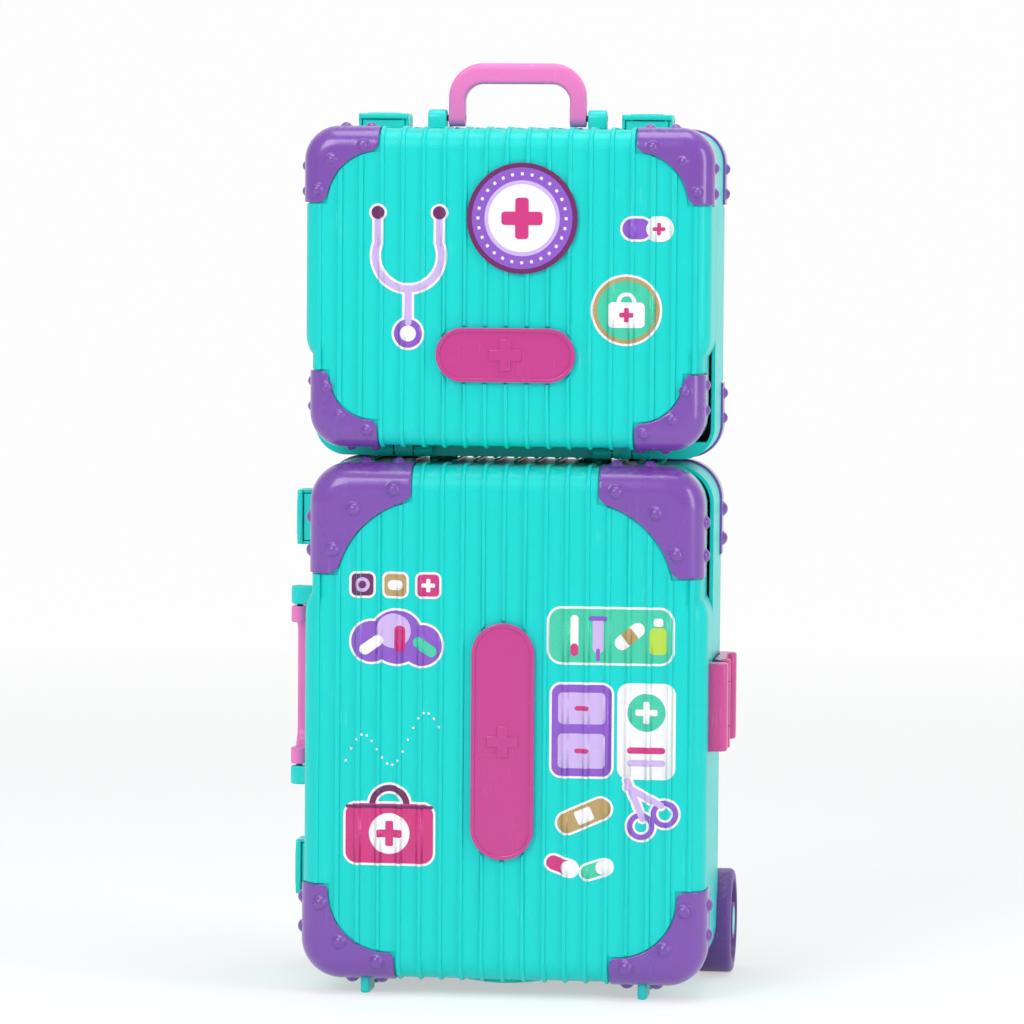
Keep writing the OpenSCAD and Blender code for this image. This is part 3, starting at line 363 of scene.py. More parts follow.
def finish(name):
    """Material of a finish, built once."""
    label = "Doctor case " + name
    if label in bpy.data.materials:
        return bpy.data.materials[label]
    tone, size, grain, scuffs, rough, bump, level, coat, coat_rough = FINISHES[name]
    groups = trees()
    mat = bpy.data.materials.new(label)
    mat.use_nodes = True
    tree = mat.node_tree
    tree.nodes.clear()
    where = add(tree, "ShaderNodeTexCoord").outputs
    skin = add(tree, "ShaderNodeGroup", node_tree=groups["Moulded surface"])
    for key, value in (("Place", where["Object"]), ("Tone", tone), ("Grain size", size),
                       ("Colour", getattr(settings("colours"), name)), ("Grain", grain),
                       ("Scuffs", scuffs), ("Roughness", rough)):
        plug(tree, skin.inputs[key], value)
    dust = add(tree, "ShaderNodeGroup", node_tree=groups["Settled dust"])
    plug(tree, dust.inputs["Place"], where["Object"])
    plug(tree, dust.inputs["Facing"], where["Normal"])
    colour = blend(tree, dust.outputs["Mask"], skin.outputs["Colour"], DUST_COLOUR)
    bumps = add(tree, "ShaderNodeBump", {"Strength": 1.0, "Distance": bump,
                                         "Height": skin.outputs["Height"]})
    shader = add(tree, "ShaderNodeBsdfPrincipled",
                 {"Base Color": colour, "Roughness": skin.outputs["Roughness"],
                  "Normal": bumps.outputs[0], "Specular IOR Level": level,
                  "Coat Weight": coat, "Coat Roughness": coat_rough,
                  "Metallic": 1.0 if name == "steel" else 0.0})
    add(tree, "ShaderNodeOutputMaterial", {"Surface": shader.outputs[0]})
    return mat


# --- Mesh helpers ---


def baked(bm, name):
    """Mesh of an edited one, which is freed."""
    mesh = bpy.data.meshes.new(name)
    bm.to_mesh(mesh)
    bm.free()
    return mesh


def cut(bm, place, facing, **more):
    """Cuts the whole mesh along a plane."""
    bmesh.ops.bisect_plane(bm, geom=[*bm.verts, *bm.edges, *bm.faces], dist=PLANE_GAP,
                           plane_co=place, plane_no=facing, **more)


def new_piece(name, mesh, mat):
    """Object of a mesh in one material."""
    piece = bpy.data.objects.new(name, mesh)
    bpy.context.scene.collection.objects.link(piece)
    mesh.materials.clear()
    mesh.materials.append(mat)
    return piece


def settle(piece):
    """Turns what a piece's modifiers make into its plain mesh."""
    bpy.context.view_layer.update()
    graph = bpy.context.evaluated_depsgraph_get()
    mesh = bpy.data.meshes.new_from_object(piece.evaluated_get(graph))
    mesh.name = piece.name
    piece.modifiers.clear()
    piece.data = mesh


def smoothed(piece, sharp=PLAIN_BREAK, flats=True):
    """Smooth shading that breaks at edges of a sharp turn, in degrees.

    With flats, the faces square to an axis stay flat, but for strips of curved walls.
    """
    mesh = piece.data
    mesh.polygons.foreach_set("use_smooth", [True] * len(mesh.polygons))
    mesh.set_sharp_from_angle(angle=radians(sharp))
    bm = bmesh.new()
    bm.from_mesh(mesh)
    low, high = STRIP_TURN
    for f in bm.faces:
        f.smooth = (not flats or max(map(abs, f.normal)) < SQUARE
                    or (f.calc_area() < STRIP_AREA
                        and any(low < e.calc_face_angle(0) < high for e in f.edges)))
    bm.to_mesh(mesh)
    bm.free()
    return piece


def soften(bm, width, segments, chosen):
    """Rounds the chosen sharp convex edges."""
    edges = [e for e in bm.edges if len(e.link_faces) == 2 and e.is_convex
             and e.calc_face_angle(0) > SHARP_EDGE and chosen(e)]
    if edges:
        bmesh.ops.bevel(bm, geom=edges, offset=width, offset_type="OFFSET", segments=segments,
                        profile=0.5, affect="EDGES", clamp_overlap=False, loop_slide=True)


def moulded(node, slot, width, segments=2, first=None, chosen=lambda e: True, name=None,
            grain=0.0):
    """Softened copy of a CAD node that stands for it on the node's own body.

    With a grain it is also softened all over, by an even mesh of that grain.
    """
    source = NODES[node]
    bm = bmesh.new()
    bm.from_mesh(source.data)
    bmesh.ops.remove_doubles(bm, verts=bm.verts, dist=CLOSE)
    bmesh.ops.dissolve_limit(bm, angle_limit=ONE_FACE, verts=bm.verts, edges=bm.edges)
    if first:
        first(bm)
    if width:
        soften(bm, width, segments, chosen)
    bmesh.ops.dissolve_degenerate(bm, dist=SLIVER, edges=bm.edges)
    mesh = baked(bm, name or node + "_moulded")
    piece = new_piece(mesh.name, mesh, finish(slot))
    if grain:
        even = piece.modifiers.new("Even mesh", "REMESH")
        even.mode, even.voxel_size = "VOXEL", grain
        soft = piece.modifiers.new("Soft edges", "SMOOTH")
        soft.factor, soft.iterations = 0.5, 3
        settle(piece)
        piece.data.materials.clear()
        piece.data.materials.append(finish(slot))
    smoothed(piece, EVEN_BREAK if grain else PLAIN_BREAK, flats=not grain)
    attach(piece, source["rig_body"])
    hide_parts(node)


# --- Geometry Nodes ---


def made_by(tree, name, values, body, slot, mat=None, mesh=None):
    """Plain mesh from a geometry tree with its named inputs, riding on a body."""
    piece = new_piece(name, mesh or bpy.data.meshes.new(name), finish(mat or slot))
    modifier = piece.modifiers.new("Repeat", "NODES")
    modifier.node_group = trees()[tree]
    keys = {i.name: i.identifier for i in modifier.node_group.interface.items_tree
            if i.in_out == "INPUT"}
    for key, value in {**values, "Finish": finish(mat or slot)}.items():
        modifier[keys[key]] = value
    settle(piece)
    smoothed(piece, REPEAT_BREAK, flats=False)
    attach(piece, body)


def geometry_group(name, inputs):
    """Geometry tree with named inputs and one for its finish, and its end nodes."""
    return group(name, "GeometryNodeTree", [*inputs, FINISH_INPUT],
                 [("Geometry", "NodeSocketGeometry")])


def rounded_block(tree, size, crease):
    """A block of a size with soft edges."""
    cube = add(tree, "GeometryNodeMeshCube", {"Size": size})
    return add(tree, "GeometryNodeSubdivisionSurface",
               {"Mesh": cube.outputs["Mesh"], "Level": 2, "Edge Crease": crease}).outputs[0]


def repeated(tree, points, thing, turn=(0, 0, 0)):
    """Solid copies of a thing, one on each point."""
    placed = add(tree, "GeometryNodeInstanceOnPoints",
                 {"Points": points, "Instance": thing, "Rotation": turn})
    return add(tree, "GeometryNodeRealizeInstances", {0: placed.outputs[0]}).outputs[0]


def close_tree(tree, solid, start, end):
    """Ends a tree with its solid in the finish that the tree is given."""
    dressed = add(tree, "GeometryNodeSetMaterial",
                  {"Geometry": solid, "Material": start.outputs["Finish"]})
    plug(tree, end.inputs[0], dressed.outputs[0])


def ring_tree():
    """Rounded blocks round a circle about +Z, turned and moved into place."""
    tree, start, end = geometry_group(
        "Ring of blocks",
        [("Count", INTEGER, 12), ("Radius", FLOAT, 0.02),
         ("Block", VECTOR, (0.01, 0.002, 0.002)), ("Turn", VECTOR, (0, 0, 0)),
         ("Centre", VECTOR, (0, 0, 0))],
    )
    s = start.outputs
    circle = add(tree, "GeometryNodeMeshCircle", {"Vertices": s["Count"], "Radius": s["Radius"]})
    step = calc(tree, "DIVIDE", tau, s["Count"])
    spin = calc(tree, "MULTIPLY", add(tree, "GeometryNodeInputIndex").outputs[0], step)
    turn = add(tree, "ShaderNodeCombineXYZ", {"Z": spin})
    solid = repeated(tree, circle.outputs[0], rounded_block(tree, s["Block"], 0.72),
                     turn.outputs[0])
    moved = add(tree, "GeometryNodeTransform",
                {"Geometry": solid, "Rotation": s["Turn"], "Translation": s["Centre"]})
    close_tree(tree, moved.outputs[0], start, end)


def row_tree():
    """Rounded blocks in a row from a start point."""
    tree, start, end = geometry_group(
        "Row of blocks",
        [("Count", INTEGER, 4), ("Start", VECTOR, (0, 0, 0)), ("Step", VECTOR, (0.01, 0, 0)),
         ("Block", VECTOR, (0.01, 0.002, 0.002))],
    )
    s = start.outputs
    line = add(tree, "GeometryNodeMeshLine",
               {"Count": s["Count"], "Start Location": s["Start"], "Offset": s["Step"]})
    solid = repeated(tree, line.outputs[0], rounded_block(tree, s["Block"], 0.6))
    close_tree(tree, solid, start, end)


def rim_tree():
    """A thin ring round each point of a mesh, facing along the attribute facing."""
    tree, start, end = geometry_group(
        "Rivet rims",
        [("Points", "NodeSocketGeometry", None), ("Radius", FLOAT, 0.0045),
         ("Thickness", FLOAT, 0.0004)],
    )
    s = start.outputs
    ring, wire = (add(tree, "GeometryNodeCurvePrimitiveCircle",
                      {"Resolution": steps, "Radius": s[radius]}).outputs[0]
                  for steps, radius in ((32, "Radius"), (8, "Thickness")))
    rim = add(tree, "GeometryNodeCurveToMesh", {0: ring, 1: wire})
    facing = add(tree, "GeometryNodeInputNamedAttribute", {"Name": "facing"},
                 data_type="FLOAT_VECTOR")
    turn = add(tree, "FunctionNodeAlignRotationToVector", {"Vector": facing.outputs[0]}, axis="Z")
    close_tree(tree, repeated(tree, s["Points"], rim.outputs[0], turn.outputs[0]), start, end)


def trees():
    """All node groups, built once."""
    if "Moulded surface" not in bpy.data.node_groups:
        for build in (moulding_group, dust_group, ring_tree, row_tree, rim_tree):
            build()
    return bpy.data.node_groups


def rivet_points(kinds, z0, z1, front, insets):
    """Places and directions of the rivets at a half's corners."""
    face = FACE_Y - GUARD_RISE if front else BACK_Y + GUARD_RISE
    out = -1 if front else 1
    depth = FACE_Y + FLANK_IN if front else BACK_Y - FLANK_IN
    points = []
    for sz, kind in kinds.items():
        spots, flank = RIVETS[kind]
        end = z1 if sz > 0 else z0
        side = SIDE_X - insets.get(sz, 0)
        for sx in (-1, 1):
            for a, b in spots:
                points.append(((sx * (SIDE_X - a * MM), face, end - sz * b * MM), (0, out, 0)))
            for f in flank:
                points.append(((sx * (side + GUARD_RISE), depth, end - sz * f * MM),
                               (sx, 0, 0)))
                if front:
                    points.append(((sx * (side - f * MM), depth, end + sz * GUARD_RISE),
                                   (0, 0, sz)))
    return points


def rims(name, points, radius, body):
    """Rims round the rivets of one body, by the rim tree."""
    mesh = bpy.data.meshes.new(name)
    mesh.from_pydata([p for p, _ in points], [], [])
    facing = mesh.attributes.new("facing", "FLOAT_VECTOR", "POINT")
    facing.data.foreach_set("vector", [c for _, d in points for c in d])
    made_by("Rivet rims", name, {"Radius": radius, "Thickness": settings("mouldings").collar_r},
            body, "guard", mesh=mesh)


# --- Shells ---


def over_pan(p, z0, z1, front, edge_r):
    """How far a point stands over a half's plain rounded outline, seen from the side."""
    out = (SEAM_Y - p.y, FACE_Y) if front else (p.y - SEAM_Y, BACK_Y)
    depth = abs(out[1] - SEAM_Y)
    a = abs(p.z - (z0 + z1) / 2) - ((z1 - z0) / 2 - edge_r)
    b = out[0] - (depth - edge_r)
    return hypot(max(a, 0), max(b, 0)) + min(max(a, b), 0) - edge_r


def shell(node, z0, z1, front, edge_r):
    """A half shell with round ribs.

    The ribs that end at the guards get a smaller round, which their short ends can take.
    """
    sizes = settings("mouldings")
    crown, foot, near = 1.4 * MM, 0.2 * MM, 2 * MM
    guards_x, corner_x = 86 * MM, 112 * MM

    def on_crown(edge):
        d = min(over_pan(v.co, z0, z1, front, edge_r) for v in edge.verts)
        a, b = (v.co for v in edge.verts)
        upright = abs((b - a).normalized().z) > ALONG
        return d > crown or (min(abs(a.x), abs(b.x)) > corner_x and upright and d > foot)

    def beside_guard(edge):
        return guards_x < abs(edge.verts[0].co.x) < corner_x

    def first(bm):
        soften(bm, sizes.rib_round, 3, lambda e: on_crown(e) and not beside_guard(e))
        soften(bm, sizes.outer_round, 2, lambda e: on_crown(e) and beside_guard(e))

    def at_seam(edge):
        return all(abs(p.co.y - SEAM_Y) < near for p in edge.verts)

    moulded(node, "shell", sizes.shell_edge, 2, first, at_seam,
            name=node.replace("shell", "half"))


class DOCTORCASE_OT_shells(bpy.types.Operator):
    """Rounds the ribs and edges of the four half shells"""

    bl_idname = "doctorcase.shells"
    bl_label = "Half shells"

    def execute(self, context):
        lower_r, upper_r = 15 * MM, 12.5 * MM
        shell("lower_front_shell", *DOOR_Z, True, lower_r)
        shell("lower_rear_shell", *DOOR_Z, False, lower_r)
        shell("upper_front_shell", *LID_Z, True, upper_r)
        shell("upper_rear_shell", *BASE_Z, False, upper_r)
        return {"FINISHED"}


# --- Guards ---


def tip_places(bm):
    """Places of the two tips of a guard's legs, from the short edges through its face plate."""
    thin, thick, away, turn = 2 * MM, 3 * MM, 45 * MM, radians(60)
    places = set()
    for e in bm.edges:
        a, b = (v.co for v in e.verts)
        through = thin < e.calc_length() < thick and abs((b - a).normalized().y) > ALONG
        if (through and abs(a.y - SEAM_Y) > away and e.is_manifold and e.is_convex
                and e.calc_face_angle(0) > turn):
            places.add((round(a.x, 4), round(a.z, 4)))
    return sorted(places)


def round_tips(bm, radius, sx, sz):
    """Cuts the two inner corners of a guard's face off along a round of a given radius.

    The signs sx and sz say in which corner of the case the guard sits.
    """
    tips = tip_places(bm)
    for x, z in tips:
        level = sx * x > min(sx * t[0] for t in tips) + MM
        for turn in (45, 22.5):
            big, small = cos(radians(turn)), sin(radians(turn))
            way = Vector((-sx * small, 0, -sz * big) if level else (-sx * big, 0, -sz * small))
            middle = Vector((x + sx * radius, 0, z + sz * radius))
            cut(bm, middle + radius * way, way, clear_outer=True)
            bmesh.ops.holes_fill(bm, edges=[e for e in bm.edges if e.is_boundary], sides=0)


# Guards by the start of their names, and their rivets: piece, body, kinds and insets of the
# side at top (1) and bottom (-1), ends in z, front half or not, radius
RIVETED = {
    "lower_front": ("door_rivets", "lower_door", {1: "lower_inner", -1: "lower_outer"},
                    {1: WAIST}, DOOR_Z, True, 4.5 * MM),
    "upper_front": ("lid_rivets", "upper_lid", {1: "upper_outer", -1: "upper_inner"},
                    {-1: WAIST}, LID_Z, True, 3.5 * MM),
    "lower_rear": ("lower_rear_rivets", "lower_base", {1: "lower_outer"}, {}, DOOR_Z, False,
                   4.5 * MM),
    "upper_rear": ("upper_rear_rivets", "upper_base", {1: "upper_outer", -1: "upper_outer"}, {},
                   BASE_Z, False, 3.5 * MM),
}


class DOCTORCASE_OT_guards(bpy.types.Operator):
    """Rounds the corner guards and sets their rivets"""

    bl_idname = "doctorcase.guards"
    bl_label = "Corner guards"

    def execute(self, context):
        sizes = settings("mouldings")
        for start, (name, body, kinds, insets, zs, front, radius) in RIVETED.items():
            for node in NODES:
                if node.startswith(start + "_guard"):
                    sx = 1 if "right" in node else -1
                    sz = -1 if "bottom" in node else 1
                    moulded(node, "guard", 0, grain=sizes.guard_grain,
                            first=partial(round_tips, radius=sizes.guard_tip, sx=sx, sz=sz))
            rims(name, rivet_points(kinds, *zs, front, insets), radius, body)
        return {"FINISHED"}


# --- Handles, latches, hinges ---


def off_axis(least, **axis):
    """Test for edges that lie farther than least from an axis given by two coordinates."""
    (a, u), (b, v) = axis.items()
    return lambda e: any(hypot(getattr(p.co, a) - u, getattr(p.co, b) - v) > least
                         for p in e.verts)


class DOCTORCASE_OT_handles(bpy.types.Operator):
    """Rounds both handles, their ears and their pins"""

    bl_idname = "doctorcase.handles"
    bl_label = "Handles"

    def execute(self, context):
        sizes = settings("mouldings")
        grip_from, ear_from = 5.6 * MM, 3 * MM
        for where, line, ears in (("top", TOP_HANDLE_PIN, ("left", "right")),
                                  ("side", SIDE_HANDLE_PIN, ("top", "bottom"))):
            moulded(where + "_handle", "pink", sizes.grip_edge, 4,
                    chosen=off_axis(grip_from, **line), grain=sizes.guard_grain)
            for ear in ears:
                moulded(f"{where}_handle_{ear}_ear", "trim", sizes.ear_edge, 3,
                        chosen=off_axis(ear_from, **line))
            moulded(where + "_handle_pins", "pin", sizes.small_edge)
        return {"FINISHED"}


class DOCTORCASE_OT_latches(bpy.types.Operator):
    """Rounds the latches and adds finger ridges to their caps"""

    bl_idname = "doctorcase.latches"
    bl_label = "Latches"

    def execute(self, context):
        sizes = settings("mouldings")
        cap_from = 2.5 * MM
        long, deep, high, step, inset = 0.66, 1.1 * MM, 1.0 * MM, 2.3 * MM, 2.5 * MM
        for node in ("side_latch_top", "side_latch_bottom", "top_latch_left", "top_latch_right"):
            side = node.startswith("side")
            low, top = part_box(node)
            centre = (low + top) / 2
            line = SIDE_LATCH_PIN if side else TOP_LATCH_PIN
            moulded(node, "trim", sizes.latch_edge, 2, chosen=off_axis(cap_from, **line))
            if side:
                start = (low.x, low.y + inset, centre.z)
                block = (high, deep, (top.z - low.z) * long)
            else:
                start = (centre.x, low.y + inset, top.z)
                block = ((top.x - low.x) * long, deep, high)
            made_by("Row of blocks", node + "_grip",
                    {"Count": sizes.grips, "Start": start, "Step": (0, step, 0), "Block": block},
                    node, "trim")
        for node in ("side_latch_lugs", "top_latch_lugs", "side_latch_catches",
                     "top_latch_catches"):
            moulded(node, "trim", sizes.small_edge)
        for node in ("side_latch_pins", "top_latch_pins", "lid_hinge_pins"):
            moulded(node, "steel", sizes.pin_edge)
        return {"FINISHED"}


class DOCTORCASE_OT_hinge(bpy.types.Operator):
    """Rounds the side hinge's leaves and finishes its pin and screws"""

    bl_idname = "doctorcase.hinge"
    bl_label = "Side hinge"

    def execute(self, context):
        sizes = settings("mouldings")
        knuckle_r, outside = 5.2 * MM, 133 * MM
        off_pin = off_axis(knuckle_r, **HINGE_PIN)

        def outer(e):
            return off_pin(e) and all(p.co.x > outside for p in e.verts)

        for node in ("hinge_front_leaf", "hinge_rear_leaf"):
            moulded(node, "hinge", sizes.hinge_edge, 4, chosen=outer)
        moulded("hinge_pin", "steel", sizes.small_edge)
        for node in ("hinge_front_screws", "hinge_rear_screws"):
            moulded(node, "steel", sizes.screw_edge)
        return {"FINISHED"}


# --- Wheels, feet, trays, plates ---


class DOCTORCASE_OT_wheels(bpy.types.Operator):
    """Rounds the wheels, adds their spokes, and finishes axle, brackets and feet"""

    bl_idname = "doctorcase.wheels"
    bl_label = "Wheels and feet"

    def execute(self, context):
        sizes = settings("mouldings")
        tyre_from, bore_r, ring_r = 33 * MM, 3.2 * MM, 19.6 * MM
        spoke = (16 * MM, 3.2 * MM, 6 * MM)
        tyre, bore = off_axis(tyre_from, **AXLE), off_axis(bore_r, **AXLE)
        shoulders = partial(soften, width=sizes.tyre_round, segments=4, chosen=tyre)
        for name, sx in (("left", -1), ("right", 1)):
            moulded(name + "_wheel", "wheel", sizes.wheel_edge, 2, first=shoulders, chosen=bore)
            moulded(name + "_hub_cap", "trim", sizes.cap_edge, 3)
            moulded(name + "_wheel_bracket", "trim", sizes.small_edge, 2, chosen=bore)
            made_by("Ring of blocks", name + "_wheel_spokes",
                    {"Count": sizes.spokes, "Radius": ring_r, "Block": spoke,
                     "Turn": (0, pi / 2, 0),
                     "Centre": (sx * SPOKES_X, AXLE["y"], AXLE["z"])},
                    name + "_wheel", "wheel")
        moulded("wheel_axle", "steel", sizes.axle_edge)
        moulded("bracket_screws", "steel", sizes.screw_edge)
        for node in ("front_feet", "rear_feet"):
            moulded(node, "trim", sizes.foot_edge)
        return {"FINISHED"}


class DOCTORCASE_OT_trays(bpy.types.Operator):
    """Rounds the trays and adds the beads that hold small things on their shelves"""

    bl_idname = "doctorcase.trays"
    bl_label = "Trays"

    def execute(self, context):
        sizes = settings("mouldings")
        row, row_y, over_shelf = 180 * MM, -30 * MM, 1.0 * MM
        bead = (9 * MM, 3 * MM, 1.6 * MM)
        for case, shelves in SHELF_Z.items():
            moulded(case + "_tray", "tray", sizes.tray_edge)
            for i, z in enumerate(shelves):
                made_by("Row of blocks", f"{case}_tray_beads_{i + 1}",
                        {"Count": sizes.beads, "Start": (-row / 2, row_y, z + over_shelf),
                         "Step": (row / (sizes.beads - 1), 0, 0), "Block": bead},
                        case + "_base", "tray")
        return {"FINISHED"}


class DOCTORCASE_OT_plates(bpy.types.Operator):
    """Rounds the two plates"""

    bl_idname = "doctorcase.plates"
    bl_label = "Plates"

    def execute(self, context):
        for node in ("upper_name_plate", "lower_name_plate"):
            moulded(node, "plate", settings("mouldings").plate_edge, 3)
        return {"FINISHED"}


# --- Stickers ---


def disc(x, z, r, grow=0.0):
    """Circle."""
    n = 44
    return [(x + (r + grow) * cos(a), z + (r + grow) * sin(a))
            for a in (i * tau / n for i in range(n))]


def slab(x, z, w, h, r, turn=0.0, grow=0.0):
    """Rectangle with round corners, turned by degrees."""
    r = min(r + grow, w / 2 + grow, h / 2 + grow)
    c, s = cos(radians(turn)), sin(radians(turn))
    n = 8
    points = []
    for k, (sx, sz) in enumerate(((1, 1), (-1, 1), (-1, -1), (1, -1))):
        for i in range(n + 1):
            a = (k + i / n) * pi / 2
            u = sx * (w / 2 + grow - r) + r * cos(a)
            v = sz * (h / 2 + grow - r) + r * sin(a)
            points.append((x + u * c - v * s, z + u * s + v * c))
    return points


def bow(x, z, r, w, a0, a1, grow=0.0):
    """Band along an arc, with square ends."""
    n = 28
    turns = [radians(a0 + (a1 - a0) * i / n) for i in range(n + 1)]
    more = [(x + (r + w / 2 + grow) * cos(a), z + (r + w / 2 + grow) * sin(a))
            for a in turns]
    less = [(x + (r - w / 2 - grow) * cos(a), z + (r - w / 2 - grow) * sin(a))
            for a in reversed(turns)]
    return more + less


def cross(layer, colour, x, z, w, h, r):
    """Two shapes of a table that make an upright cross."""
    return (layer, colour, slab, x, z, w, h, r), (layer, colour, slab, x, z, h, w, r)


# Shapes of the stickers, in mm: layer, colour, outline and its values. The shapes of layer 0
# are also drawn larger in white beneath the rest.
LID_STICKERS = [
    (0, "violet", slab, 82, 488, 18, 13, 6.5), (0, "white", slab, 96, 488, 16, 13, 6.5),
    *cross(1, "rose", 96, 488, 8, 2.4, 1), (0, "sand", disc, 76, 437, 21),
    (1, "mint", disc, 76, 437, 18.5), (2, "white", slab, 76, 434, 23, 16, 3),
    (2, "white", bow, 76, 442, 5, 2.4, 0, 180), *cross(3, "rose", 76, 434, 9, 3, 0.8),
    (0, "lilac", bow, -62, 470, 21, 4.4, -200, 20), (0, "lilac", slab, -81.5, 486, 4.4, 20, 2),
    (0, "lilac", slab, -42.5, 486, 4.4, 20, 2), (0, "plum", disc, -81.5, 497, 4.2),
    (0, "plum", disc, -42.5, 497, 4.2), (0, "lilac", slab, -62, 438, 4.4, 24, 2),
    (0, "violet", disc, -62, 421, 9), (1, "white", disc, -62, 421, 5),
]
DOOR_STICKERS = [
    (0, "plum", slab, -90, 262, 14, 14, 3), (1, "lilac", disc, -90, 262, 4.6),
    (2, "plum", disc, -90, 262, 2.4), (0, "sand", slab, -69, 262, 14, 14, 3),
    (1, "white", slab, -69, 262, 10, 6.4, 3.2), (0, "rose", slab, -48, 262, 14, 14, 3),
    *cross(1, "white", -48, 262, 8.4, 2.6, 0.8), (0, "violet", disc, -84, 226, 13),
    (0, "violet", disc, -68, 229, 17), (0, "violet", disc, -52, 224, 13),
    (1, "lilac", disc, -70, 233, 11), (2, "white", slab, -84, 224, 17, 7, 3.5, 35),
    (2, "rose", slab, -66, 228, 17, 7, 3.5, 90), (2, "mint", slab, -50, 223, 17, 7, 3.5, -35),
    (0, "rose", slab, -72, 104, 56, 38, 7), (0, "plum", bow, -72, 122, 11, 4, 0, 180),
    (1, "white", disc, -72, 104, 13), *cross(2, "rose", -72, 104, 16, 5, 1),
    (1, "plum", slab, -72, 121, 56, 2, 1), (0, "mint", slab, 68, 232, 78, 34, 8),
    (1, "white", slab, 45, 232, 5, 26, 2.5), (2, "rose", slab, 45, 223, 5, 8, 2.5),
    (1, "lilac", slab, 60, 232, 7, 22, 3), (1, "violet", slab, 60, 243, 12, 3, 1.5),
    (1, "violet", slab, 60, 220, 2.4, 8, 1.2), (1, "white", slab, 80, 232, 22, 9, 4.5, 40),
    (2, "sand", slab, 80, 232, 7.5, 9, 1, 40), (1, "lime", slab, 98, 229, 11, 17, 3),
    (1, "white", slab, 98, 241, 6, 5, 1.5), (0, "violet", slab, 50, 172, 38, 58, 6),
    (1, "lilac", slab, 50, 186, 30, 20, 3), (1, "lilac", slab, 50, 159, 30, 22, 3),
    (2, "rose", slab, 50, 186, 9, 3, 1.5), (2, "rose", slab, 50, 159, 9, 3, 1.5),
    (0, "white", slab, 91, 172, 34, 58, 6), (1, "mint", slab, 91, 184, 24, 24, 12),
    *cross(2, "white", 91, 184, 14, 4, 1), (1, "rose", slab, 91, 160, 24, 4, 2),
    (1, "lilac", slab, 91, 152, 24, 4, 2), (0, "sand", slab, 52, 118, 36, 13, 6.5, 24),
    (1, "white", slab, 52, 118, 11, 9, 1.5, 24), (0, "violet", bow, 88, 112, 7, 3.4, 0, 359),
    (0, "violet", bow, 103, 120, 7, 3.4, 0, 359), (0, "lilac", slab, 84, 129, 4, 30, 2, 22),
    (0, "lilac", slab, 90, 131, 4, 28, 2, 62), (0, "rose", slab, 38, 86, 20, 9, 4.5, -20),
    (1, "white", slab, 42.7, 84.3, 10.6, 9, 4.5, -20),
    (0, "mint", slab, 60, 84, 20, 9, 4.5, 18), (1, "white", slab, 64.8, 85.5, 10.6, 9, 4.5, 18),
]
# Where the foil bends on its way over a rib, in mm from the rib's middle, and its height there
RIB_KNOTS = ((0, 1.6), (0.6, 1.58), (1.2, 1.35), (1.6, 0.6), (2.4, 0.06), (9, 0.06))
RIBS = range(-9, 10)
# Rise from one shape of a table to the next, in layers, so that no two lie at one height,
# the share of its layer that a foil fills, and the width of the white border in mm
LIFT, LIFTS = 0.045, 16
FILL, BORDER = 0.9, 1.5
# Medallion: its middle, and its plates by share of its radius, start and end over the face
# in mm, and colour; then its cross by width, height, start and end
MIDDLE = (10, 494)
MEDALLION = {"rim": (1.0, 0.2, 2.6, "plum"), "field": (0.91, 2.4, 2.9, "violet"),
             "band": (0.68, 2.8, 3.15, "lilac"), "middle": (0.61, 3.1, 3.4, "white")}
CROSS = {"bar": (0.74, 0.24, 3.3, 4.0), "post": (0.24, 0.74, 3.3, 4.02)}
# Middles of a wavy line of dots and their radius, in mm
DASH_R = 0.8
DASHES = [(-100 + 3.3 * i, 150 + 13 * sin(i * 0.52) + 1.2 * i) for i in range(19)]


def rib_rise(x):
    """Height over the face of foil pressed over the ribs."""
    away = abs(x - RIB_PITCH * round(x / RIB_PITCH)) / MM
    for (a, u), (b, v) in zip(RIB_KNOTS, RIB_KNOTS[1:]):
        if away <= b:
            return (u + (v - u) * (away - a) / (b - a)) * MM
    return 0.0


def foil(name, shapes, body, mat):
    """Foil pressed over the ribs: the outlines of one colour, each on its own layer."""
    sheet = settings("stickers").sheet
    bm = bmesh.new()
    mark = bm.verts.layers.float.new("layer")
    for layer, outline in shapes:
        made = bm.faces.new([bm.verts.new((x * MM, 0, z * MM)) for x, z in outline])
        for v in made.verts:
            v[mark] = layer
    bends = [away for away, _ in RIB_KNOTS[1:-1]]
    for i in RIBS:
        for away in (*(-b for b in reversed(bends)), *bends):
            cut(bm, (i * RIB_PITCH + away * MM, 0, 0), (1, 0, 0))
    for v in bm.verts:
        v.co.y = FACE_Y - rib_rise(v.co.x) - (v[mark] + 1) * sheet
    bmesh.ops.triangulate(bm, faces=bm.faces)
    piece = new_piece(name, baked(bm, name), finish(mat))
    wall = piece.modifiers.new("Foil", "SOLIDIFY")
    wall.thickness, wall.offset = sheet * FILL, -1
    smoothed(piece, FOIL_BREAK)
    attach(piece, body)


def stickers(prefix, table, body, extra=()):
    """Foils of a table of stickers, one for each colour."""
    shapes = {}
    for i, (layer, colour, outline, *values) in enumerate(table):
        lift = LIFT * (i % LIFTS)
        shapes.setdefault(colour, []).append((layer + 1 + lift, outline(*values)))
        if layer == 0:
            shapes.setdefault("white", []).append((lift, outline(*values, grow=BORDER)))
    for colour, layer, outline in extra:
        shapes.setdefault(colour, []).append((layer, outline))
    for colour, outlines in shapes.items():
        foil(f"{prefix}_{colour}", outlines, body, colour)


